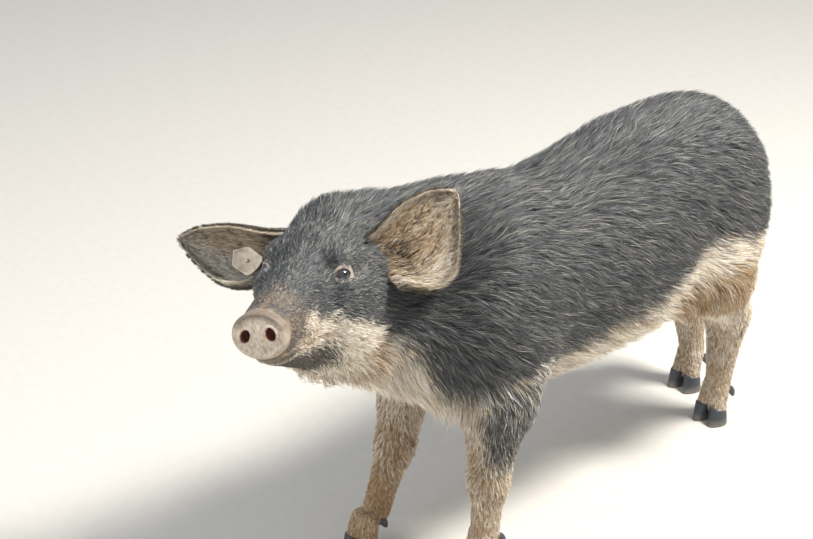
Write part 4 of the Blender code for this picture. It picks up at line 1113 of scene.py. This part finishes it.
def lie(points, normals, leg):
    """The way the coat lies: back over the trunk, down the flanks and the legs."""
    head = (ramp(-in_head(points)[..., 1], -0.36, -0.22) * ramp(-points[..., 1], 0.12, 0.20))[..., None]
    side = np.abs(normals[..., :1])
    trunk = (0.0, 1.0, 0.0) + side * (0.0, 0.0, -0.62)
    skull = HEAD[:, 1] + side * (0.0, 0.0, -0.30)
    under = ramp(-normals[..., 2:], 0.25, 0.7) * ramp(-points[..., 1:2], 0.12, 0.2)
    way = trunk * (1 - head) + skull * head + under * (0.0, 0.2, -0.55)
    way = way * (1 - leg[..., None]) + np.array((0.0, 0.22, -1.0)) * leg[..., None]
    return unit(way - normals * (way * normals).sum(axis=-1, keepdims=True))


def hair_sizes(points, normals, shares):
    """Length, width and tip height of the hairs at each place."""
    local = in_head(points)
    _, back, up = np.moveaxis(local, -1, 0)
    poll = ramp(back, 0.17, 0.22) * ramp(up, 0.055, 0.08) * shares["head"]
    belly = ramp(-normals[..., 2], 0.1, 0.6) * shares["trunk"]
    from_eye = from_nearer_eye(local)
    length = sum(shares[kind] * LONGEST[kind] for kind in LONGEST)
    length = length + shares["head"] * (0.0055 + 0.0170 * ramp(back, 0.05, 0.26)) + 0.010 * poll
    height = points[..., 2]
    length += shares["leg"] * (0.016 * ramp(height, 0.20, 0.28) - 0.004 * ramp(-height, -0.14, -0.07))
    by_eye = 0.0045 + 0.016 * ramp(from_eye, 0.013, 0.055) + 0.05 * ramp(from_eye, 0.05, 0.08)
    length = np.minimum(length, by_eye)
    width = 0.00038 + 0.00013 * ramp(length, 0.006, 0.030)
    length = length * (1 + 0.35 * belly)
    rise = coat_depth(points) + 0.024 * shares["throat"] + 0.006 * poll + 0.021 * belly
    steepest = 0.42 + 0.2 * np.maximum(shares["throat"], belly)
    return length, width, np.maximum(np.minimum(rise, steepest * length), 0.0011)


def bare(points):
    """The plate of the nose, the lips and the rims of the eyes carry no hair."""
    local = in_head(points)
    none = ramp(-local[..., 1], -0.021, -0.019)
    none = np.maximum(none, ramp(-cord_of(local, MOUTH, [0.0018] * len(MOUTH)), -0.001, 0.0))
    for side in (1, -1):
        away = np.linalg.norm(points - EYES[side][0], axis=-1)
        none = np.maximum(none, ramp(-away, -0.0146, -0.0138))
    return none


def strewn(vertices, quads, density, count, rng):
    """Evenly strewn places on a surface, by area and density."""
    corners = vertices[quads]
    areas = np.linalg.norm(np.cross(corners[:, 2] - corners[:, 0], corners[:, 3] - corners[:, 1]), axis=1)
    total = np.cumsum(areas * density)
    picked = np.searchsorted(total, (np.arange(count) + rng.random(count)) * total[-1] / count)
    a, b = rng.random((2, count, 1))
    first, second, third, fourth = np.moveaxis(corners[np.minimum(picked, len(quads) - 1)], 1, 0)
    return (first * (1 - a) + second * a) * (1 - b) + (fourth * (1 - a) + third * a) * b


def combed(roots, lengths, rises, swings, steps):
    """Each tuft's path from its root to its tip, and its side and outward directions."""
    base = body_shape(roots)
    places, sides, outs = [], [], []
    point = roots
    for step, share in steps:
        slope = slope_of(body_shape, point)
        normal = unit(slope)
        way = lie(point, normal, on_legs(point))
        way = way * np.cos(swings)[:, None] + np.cross(normal, way) * np.sin(swings)[:, None]
        if step:
            point = point + way * (lengths * step)[:, None]
        steepness = np.maximum((slope**2).sum(axis=-1), 0.05)
        gap = body_shape(point) - (base + share * rises - ROOT_DEPTH * (share == 0))
        point = point - (gap / steepness)[:, None] * slope
        places.append(point)
        outs.append(normal)
        sides.append(np.cross(way, normal))
    return [np.stack(rows, axis=1) for rows in (places, sides, outs)]


def spread_hairs(places, sides, outs, widths, reach, rng):
    """Hairs round each tuft's path, apart at the root and drawn together towards the tip."""
    tufts, stations = places.shape[:2]
    shape = (tufts, HAIRS, 1, 1)
    share = np.linspace(0.0, 1.0, stations)[None, None, :, None]
    across = rng.uniform(-1, 1, shape) * reach[:, None, None, None]
    ahead = rng.uniform(-1, 1, shape) * reach[:, None, None, None]
    stray = rng.normal(0, 0.42, shape) * reach[:, None, None, None]
    along = np.gradient(places, axis=1)[:, None]
    longer = rng.uniform(-0.30, 0.22, shape)
    hairs = places[:, None] + sides[:, None] * (across * (1 - 0.12 * share) + stray * share**2)
    hairs = hairs + along * (longer * share) + outs[:, None] * (0.35 * ahead * share + 0.25 * stray * share)
    hairs = hairs + unit(along) * ahead * (1 - share)
    rolled = rng.uniform(-0.75, 0.75, shape)
    half = 0.5 * widths[:, None, None, None] * (1.0 - 0.25 * share) * rng.uniform(0.75, 1.25, shape)
    blades = (sides[:, None] * np.cos(rolled) + outs[:, None] * np.sin(rolled)) * half
    return hairs, blades


def coat_piece(name, hairs, blades, colours, patches):
    """One mesh of flat tapered hairs, each ending in a point, with its map of one small patch a tuft."""
    tufts, count, stations = hairs.shape[:3]
    pairs = np.stack([hairs[:, :, :-1] - blades[:, :, :-1], hairs[:, :, :-1] + blades[:, :, :-1]], axis=3)
    vertices = np.concatenate([pairs.reshape(tufts, count, -1, 3), hairs[:, :, -1:]], axis=2)
    twice = np.repeat(colours[:, :, :-1], 2, axis=2)
    tones = np.concatenate([twice, colours[:, :, -1:]], axis=2)
    one = []
    for k in range(stations - 2):
        one += [(2 * k, 2 * k + 1, 2 * k + 3), (2 * k, 2 * k + 3, 2 * k + 2)]
    one.append((2 * stations - 4, 2 * stations - 3, 2 * stations - 2))
    each = 2 * stations - 1
    faces = (np.arange(tufts * count)[:, None, None] * each + np.array(one)[None]).reshape(-1, 3)
    piece = mesh_piece(name, bristle, vertices.reshape(-1, 3), faces, tones.reshape(-1, 3))
    strip = np.arange(count)[:, None] + np.array([0.1, 0.9] * (stations - 1) + [0.5])[None]
    rise = np.append(np.repeat(np.arange(stations - 1), 2), stations - 1) / (stations - 1)
    flat = np.stack([strip / count, np.broadcast_to(rise, strip.shape)], axis=-1)
    flat = (patches[:, None, None] + PATCH * flat[None]).reshape(-1, 2)
    layer = piece.data.uv_layers.new(name="OFBake")
    layer.data.foreach_set("uv", flat[faces.ravel()].astype(np.float32).ravel())
    return piece


def unwrapped(points, start, end, middle):
    """A place on the skin rolled out flat: the angle round the part's axis, and the way along it."""
    start, end = np.array(start), np.array(end)
    axis = unit(end - start)
    along = (points - start) @ axis
    away = points - start - along[:, None] * axis
    first = unit(np.cross(axis, middle))
    angle = np.arctan2(away @ first, away @ np.cross(axis, first))
    flat = np.stack([angle, along], axis=1)
    low, high = flat.min(axis=0), flat.max(axis=0)
    return 0.004 + 0.988 * (flat - low) / np.maximum(high - low, 1e-6)


# The single hairs of each marking, with the share of the hairs that has each colour.
MOSTLY_FIRST = (0.42, 0.24, 0.24, 0.10)
TONES = {
    "slate": (("#34373b", "#4c4f52", "#6e6f6e", "#a09a8d"), (0.34, 0.34, 0.22, 0.10)),
    "cream": (("#eae1d2", "#f4efe6", "#d3c2a6", "#ad9270"), MOSTLY_FIRST),
    "brown": (("#a98a62", "#cdb893", "#8f6c45", "#6e4d2e"), MOSTLY_FIRST),
    "chin": (("#4b4541", "#6b625a", "#3a3532", "#857968"), MOSTLY_FIRST),
    "muzzle": (("#5f5852", "#8a7d6f", "#45403d", "#b5a894"), MOSTLY_FIRST),
}
EAR_TONES = {
    "slate": (("#8a8a88", "#b3ada1", "#cfc4b2", "#e6dccb"), (0.26, 0.32, 0.26, 0.16)),
    "cream": (TONES["cream"][0], (0.40, 0.20, 0.28, 0.12)),
    "brown": (("#a98e6c", "#c9b08f", "#7d654b", "#ddccb2"), (0.34, 0.32, 0.16, 0.18)),
    # Dark hairs that paint shade in the ear's folds and deep in its hollow.
    "painted_shade": (("#2c231d", "#3d3027", "#5a4632", "#1f1a18"), (0.4, 0.3, 0.15, 0.15)),
}


def picked_tones(tones, shares, shape, rng):
    chosen = np.searchsorted(np.cumsum(shares), rng.random(shape) * 0.9999)
    return np.array([linear(tone) for tone in tones])[chosen]


def shaded_at_root(tones, root, tip):
    """Each hair's colour at its three stations, darker at the root as painted shade where the hairs crowd."""
    return np.clip(tones[:, :, None] * np.linspace(root, tip, 3)[None, None, :, None], 0.0, 1.0)


def hair_colours(roots, rng):
    """Each hair's colour from root to tip, by the same markings as the hide."""
    shape = (len(roots), HAIRS)
    marks = markings(roots)
    hairs = {kind: picked_tones(*TONES[kind], shape, rng) for kind in TONES}
    dice = rng.random((3,) + shape + (1,))
    tone = hairs["cream"]
    for kind, die in (("brown", 0), ("slate", 1), ("chin", 2), ("muzzle", 2)):
        tone = np.where(dice[die] < marks[kind][:, None, None], hairs[kind], tone)
    tone = tone * rng.uniform(0.86, 1.12, (len(roots), 1, 1)) * rng.uniform(0.85, 1.15, shape + (1,))
    # Darker towards each hair's root: painted shade.
    return shaded_at_root(tone, 0.80, 1.12)


def coarse_bristle():
    """Pig bristle: solid keratin, half glossy along its length, each hair of its own shade."""
    made, tree, shader = new_material("coarse_bristle", 0.48, 0.35)
    place = add_node(tree, "TexCoord", {})
    pelt_colour(tree, shader, place, 45.0, 3.0, 0.80, 1.20)
    return made


def drawn(count):
    return count


bristle = coarse_bristle()
rng = np.random.default_rng(7)
skin_points = np.concatenate([body_net, face_world])
skin_quads = np.concatenate([body_quads, face_quads + len(body_net)])
centres = skin_points[skin_quads].mean(axis=1)
spans = skin_points[skin_quads]
normals = np.cross(spans[:, 2] - spans[:, 0], spans[:, 3] - spans[:, 1])
normals /= np.maximum(np.linalg.norm(normals, axis=1, keepdims=True), 1e-12)
shares = coat_regions(centres, normals)
lengths, widths, _ = hair_sizes(centres, normals, shares)
density = (USUAL_LENGTH * USUAL_WIDTH / (lengths * widths)) ** 0.55
density *= (1 - bare(centres)) * (1 + 0.45 * shares["head"])
density *= ramp(centres[:, 2], CORONET_HEIGHT - 0.004, CORONET_HEIGHT + 0.001)
in_band = (in_head(centres)[:, 1] > FACE_END - FACE_OVERLAP) & (np.arange(len(centres)) >= len(body_quads))
density[in_band] = 0.0
roots = strewn(skin_points, skin_quads, density, drawn(TUFTS), rng)
normals = unit(slope_of(body_shape, roots))
shares = coat_regions(roots, normals)
lengths, widths, rises = hair_sizes(roots, normals, shares)
lengths = lengths * rng.uniform(0.8, 1.15, len(roots))
rises = rises * rng.uniform(0.55, 1.0, len(roots))
swings = rng.normal(0, 0.17, len(roots)) + 0.17 * smooth_waves(roots, (0.035, 0.08), 17)

axis_of = {
    "head": (from_head((0, 0, 0)), from_head((0, 0.28, 0.02)), HEAD[:, 2]),
    "neck": (from_head((0, 0.2, 0)), (0, -0.1, 0.37), (0, 0, 1)),
    "side": ((0, -0.15, 0.35), (0, 0.15, 0.36), (0, 0, 1)),
    "rump": ((0, 0.1, 0.37), (0, 0.4, 0.38), (0, 0, 1)),
}
leg_share = shares["leg"] > 0.5
part = np.where(in_head(roots)[:, 1] < 0.235, "head", "neck")
part = np.where((roots[:, 1] > -0.16) & (part == "neck"), "side", part)
part = np.where(roots[:, 1] > 0.12, "rump", part)
sided = np.where(np.where(part == "head", in_head(roots)[:, 0], roots[:, 0]) > 0, "left", "right")
labels = np.char.add(np.char.add(part, "_"), sided)
nearest = np.argmin([leg_shape(roots, name) for name in FEET], axis=0)
labels = np.where(leg_share, np.array(["leg_" + name for name in FEET])[nearest], labels)
for label in np.unique(labels):
    own = labels == label
    if label.startswith("leg_"):
        joints = leg_joints(label[4:])
        start, end, middle = joints[0][0], joints[-1][0], (0, 1, 0)
    else:
        start, end, middle = axis_of[label.split("_")[0]]
    stations = ((0.0, 0.0), (0.52, 0.74), (0.48, 1.0))
    paths, sides, outs = combed(roots[own], lengths[own], rises[own], swings[own], stations)
    reach = TUFT_SPREAD * ramp(lengths[own], -0.004, 0.026)
    hairs, blades = spread_hairs(paths, sides, outs, widths[own], reach, rng)
    tones = hair_colours(roots[own], rng)
    patches = unwrapped(roots[own], start, end, np.array(middle, float))
    coat = coat_piece("coat_" + label, hairs, blades, tones, patches)
    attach(coat, "root")


def bent_tufts(roots, ways, outs, lengths, rises, steps):
    """Each tuft's path from its root over its bend to its tip, and its side and outward directions."""
    paths = [roots + ways * (lengths * a)[:, None] + outs * (rises * b)[:, None] for a, b in steps]
    return [np.stack(rows, axis=1) for rows in (paths, [np.cross(ways, outs)] * 3, [outs] * 3)]


def ear_hair_tones(name, share, turn, face, rng):
    """Slate outside; inside cream on the rim, brown in the hollow, pale and long-haired at the lobe, with
    dark hairs as painted shade along the folds and deep in the hollow near the root.
    """
    shape = (len(share), HAIRS)
    hairs = {kind: picked_tones(*EAR_TONES[kind], shape, rng) for kind in EAR_TONES}
    edge = ramp(np.abs(turn), 0.66, 0.88)
    # Lines along one flank of each fold of the ear, where dark hairs paint shade.
    lines = np.sin(math.tau * (2.6 * turn + 0.5 * share) + 0.9)
    if name == "ear_right":
        pale = np.maximum(ramp(-turn, 0.70, 0.90), 0.30 * edge)
        hollow = 0.65 * ramp(-turn, -0.25, 0.15) * ramp(-share, -0.95, -0.7)
        # Painted shade: dark hairs deep in the hollow near the root and along the folds.
        fold_and_root_shade = np.maximum(0.8 * ramp(-share, -0.22, -0.05), 0.30 * ramp(lines, 0.5, 1.0))
    else:
        pale = np.maximum(0.85 * edge, 0.9 * ramp(turn, 0.30, 0.62) * ramp(-share, -0.70, -0.45))
        hollow = 0.85 - 0.45 * ramp(share, 0.5, 0.8)
        # Painted shade: dark hairs deep in the hollow near the root and along the folds.
        fold_and_root_shade = 0.75 * np.exp(-(((share - 0.20) / 0.12) ** 2 + ((turn + 0.10) / 0.34) ** 2))
        fold_and_root_shade = np.maximum(fold_and_root_shade, 0.5 * ramp(lines, 0.55, 1.0) * (np.abs(turn) < 0.6))
    dice = rng.random((3,) + shape + (1,))
    tone = hairs["slate"] * (1 - 0.62 * face)[:, None, None]
    inside = {"brown": hollow * (1 - face), "painted_shade": fold_and_root_shade * (1 - face), "cream": pale * (1 - 0.85 * face)}
    for die, (kind, part) in zip(dice, inside.items()):
        tone = np.where(die < part[:, None, None], hairs[kind], tone)
    # Darker towards each hair's root: painted shade.
    return shaded_at_root(tone, 0.70, 1.15)


for name in EARS:
    count = drawn(EAR_TUFTS)
    middle, out = ear_middle(name, EAR_ROWS, EAR_COLUMNS)
    share, turn = 1 - rng.random(count) ** 0.72, rng.uniform(-0.97, 0.97, count)
    on_rim = rng.random(count) < 0.22
    turn = np.where(on_rim, np.sign(turn) * rng.uniform(0.965, 1.0, count), turn)
    face = rng.random(count) < 0.5
    row, column = share * (EAR_ROWS - 1), (turn + 1) / 2 * (EAR_COLUMNS - 1)
    along = on_sheet(np.gradient(middle, axis=0), row, column)
    across = on_sheet(np.gradient(middle, axis=1), row, column)
    normal = on_sheet(out, row, column) * np.where(face, -1, 1)[:, None]
    along, across, normal = unit(along), unit(across), unit(normal)
    thick = (0.0019 - 0.0012 * share)[:, None]
    point = on_sheet(middle, row, column) + normal * thick * (1 - 0.7 * on_rim[:, None])
    lobe = ramp(turn, 0.2, 0.7) * ramp(-share, -0.6, -0.3) * ~face
    sideways = np.abs(turn)[:, None]
    way = along * (1.0 - 0.55 * sideways) + across * (0.85 * turn[:, None] * sideways)
    way = unit(way + across * rng.normal(0, 0.22, count)[:, None])
    length = (0.0085 + 0.0035 * ramp(-share, -0.9, -0.3) + 0.008 * lobe) * rng.uniform(0.75, 1.2, count)
    length *= 1 - 0.35 * face - 0.35 * ramp(share, 0.8, 1.0)
    rise = (0.0016 + 0.0022 * ~face + 0.004 * lobe) * rng.uniform(0.6, 1.1, count)
    tufts = bent_tufts(point, way, normal, length, rise, ((0, -0.2), (0.5, 0.8), (1.0, 1.0)))
    hairs, blades = spread_hairs(*tufts, np.full(count, EAR_HAIR_WIDTH), np.full(count, EAR_TUFT_SPREAD), rng)
    tones = ear_hair_tones(name, share, turn, face, rng)
    patches = np.stack([(turn + 1) / 2, share], axis=1) * (0.48, 0.98) + 0.006
    patches[:, 0] += 0.5 * face
    coat = coat_piece("coat_" + name, hairs, blades, tones, patches)
    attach(coat, "root")

count = drawn(TAIL_TUFTS)
share = rng.random(count) ** 0.8
route = smooth_path(TAIL_ROUTE, 80)
at = np.linspace(0, 1, len(route))
centre, heading = (
    np.stack([np.interp(share, at, rows[:, k]) for k in range(3)], axis=1)
    for rows in (route, np.gradient(route, axis=0))
)
heading = unit(heading)
angle = rng.uniform(0, math.tau, count)
out = np.stack([np.cos(angle), np.sin(angle), np.zeros(count)], axis=1)
out[:, 2] = 0.4 * np.sin(angle) * ramp(-share, -0.35, 0.0)
out = unit(out - heading * (out * heading).sum(axis=1, keepdims=True))
radius = np.interp(share, np.linspace(0, 1, len(TAIL_RADII)), TAIL_RADII)
length = (0.016 + 0.034 * ramp(share, 0.35, 0.8)) * rng.uniform(0.75, 1.1, count)
hang = unit(heading * (1 - 0.3 * share[:, None]) + np.array((0, 0, -0.5)) * share[:, None])
rise = 0.0035 + 0.0035 * ramp(share, 0.3, 0.7)
point = centre + out * (radius * 0.97)[:, None]
tufts = bent_tufts(point, hang, out, length, rise, ((0, 0), (0.5, 0.9), (1.0, 0.9)))
hairs, blades = spread_hairs(*tufts, np.full(count, TAIL_HAIR_WIDTH), np.full(count, TAIL_TUFT_SPREAD), rng)
tones = picked_tones(TONES["slate"][0], (0.5, 0.28, 0.15, 0.07), (count, HAIRS), rng)
# Darker towards each hair's root: painted shade.
tones = shaded_at_root(tones, 0.70, 1.15)
patches = np.stack([angle / math.tau, share], axis=1) * 0.98 + 0.006
coat = coat_piece("coat_tail", hairs, blades, tones, patches)
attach(coat, "root")


# The stand-in studio: a pale matt floor under the hooves, a soft key light high on the camera's
# right, a wide weak one on its left, a little light from all round, and the camera.
FLOOR_DROP = 0.0003
floor_build = bmesh.new()
bmesh.ops.create_grid(floor_build, x_segments=1, y_segments=1, size=6.0)
floor_mesh = bpy.data.meshes.new("floor")
floor_build.to_mesh(floor_mesh)
floor_build.free()
floor = placed("floor", floor_mesh)
floor.location.z = -FLOOR_DROP
floor_paint, floor_tree, floor_shader = new_material("matt_floor_paint", 0.75)
floor_place = add_node(floor_tree, "TexCoord", {})
floor_dust = noise(floor_tree, floor_place, 60.0, 6.0)
floor_tone = mixed_paint(floor_tree, floor_dust, paint("#c9c5bd"), paint("#d3cfc8"))
floor_tree.links.new(floor_tone, floor_shader.inputs["Base Color"])
floor_mesh.materials.append(floor_paint)

VIEW_TURN = math.radians(46.2)
VIEW_RISE = math.radians(25.3)
VIEW_PLACE = Vector((1.476, -1.680, 1.382))
SENSOR_WIDTH = 36.0
PHOTO_WIDTH = 813
FOCAL_PIXELS = 1896
back_way = Vector((math.sin(VIEW_TURN), -math.cos(VIEW_TURN), 0.0)) * math.cos(VIEW_RISE)
back_way.z = math.sin(VIEW_RISE)
right_way = Vector((math.cos(VIEW_TURN), math.sin(VIEW_TURN), 0.0))
up_way = back_way.cross(right_way)
lens = bpy.data.cameras.new("camera")
lens.sensor_width = SENSOR_WIDTH
lens.lens = SENSOR_WIDTH * FOCAL_PIXELS / PHOTO_WIDTH
camera = placed("camera", lens)
turned = Matrix((right_way, up_way, back_way)).transposed().to_4x4()
camera.matrix_world = Matrix.Translation(VIEW_PLACE + Vector(BODY_PLACE)) @ turned
bpy.context.scene.camera = camera


LIT_MIDDLE = Vector((0.03, 0.0, 0.32))
LIGHT_DISTANCE = 3.0


def soft_light(name, way, size, power, colour):
    lamp = bpy.data.lights.new(name, "AREA")
    lamp.size = size
    lamp.energy = power
    lamp.color = colour
    piece = placed(name, lamp)
    way = way.normalized()
    piece.location = LIT_MIDDLE + way * LIGHT_DISTANCE
    piece.rotation_mode = "QUATERNION"
    piece.rotation_quaternion = way.to_track_quat("Z", "Y")


soft_light("key_light", right_way * 0.75 + up_way * 1.0 + back_way * 0.60, 0.8, 175.0, (1.0, 0.97, 0.92))
soft_light("fill_light", right_way * -1.0 + up_way * 0.3 + back_way * 0.6, 2.5, 44.0, (0.92, 0.96, 1.0))
surround = bpy.data.worlds.new("surround")
surround.use_nodes = True
surround.node_tree.nodes["Background"].inputs["Color"].default_value = (0.86, 0.90, 0.96, 1)
surround.node_tree.nodes["Background"].inputs["Strength"].default_value = 0.55
bpy.context.scene.world = surround
bpy.context.scene.view_settings.view_transform = "Standard"
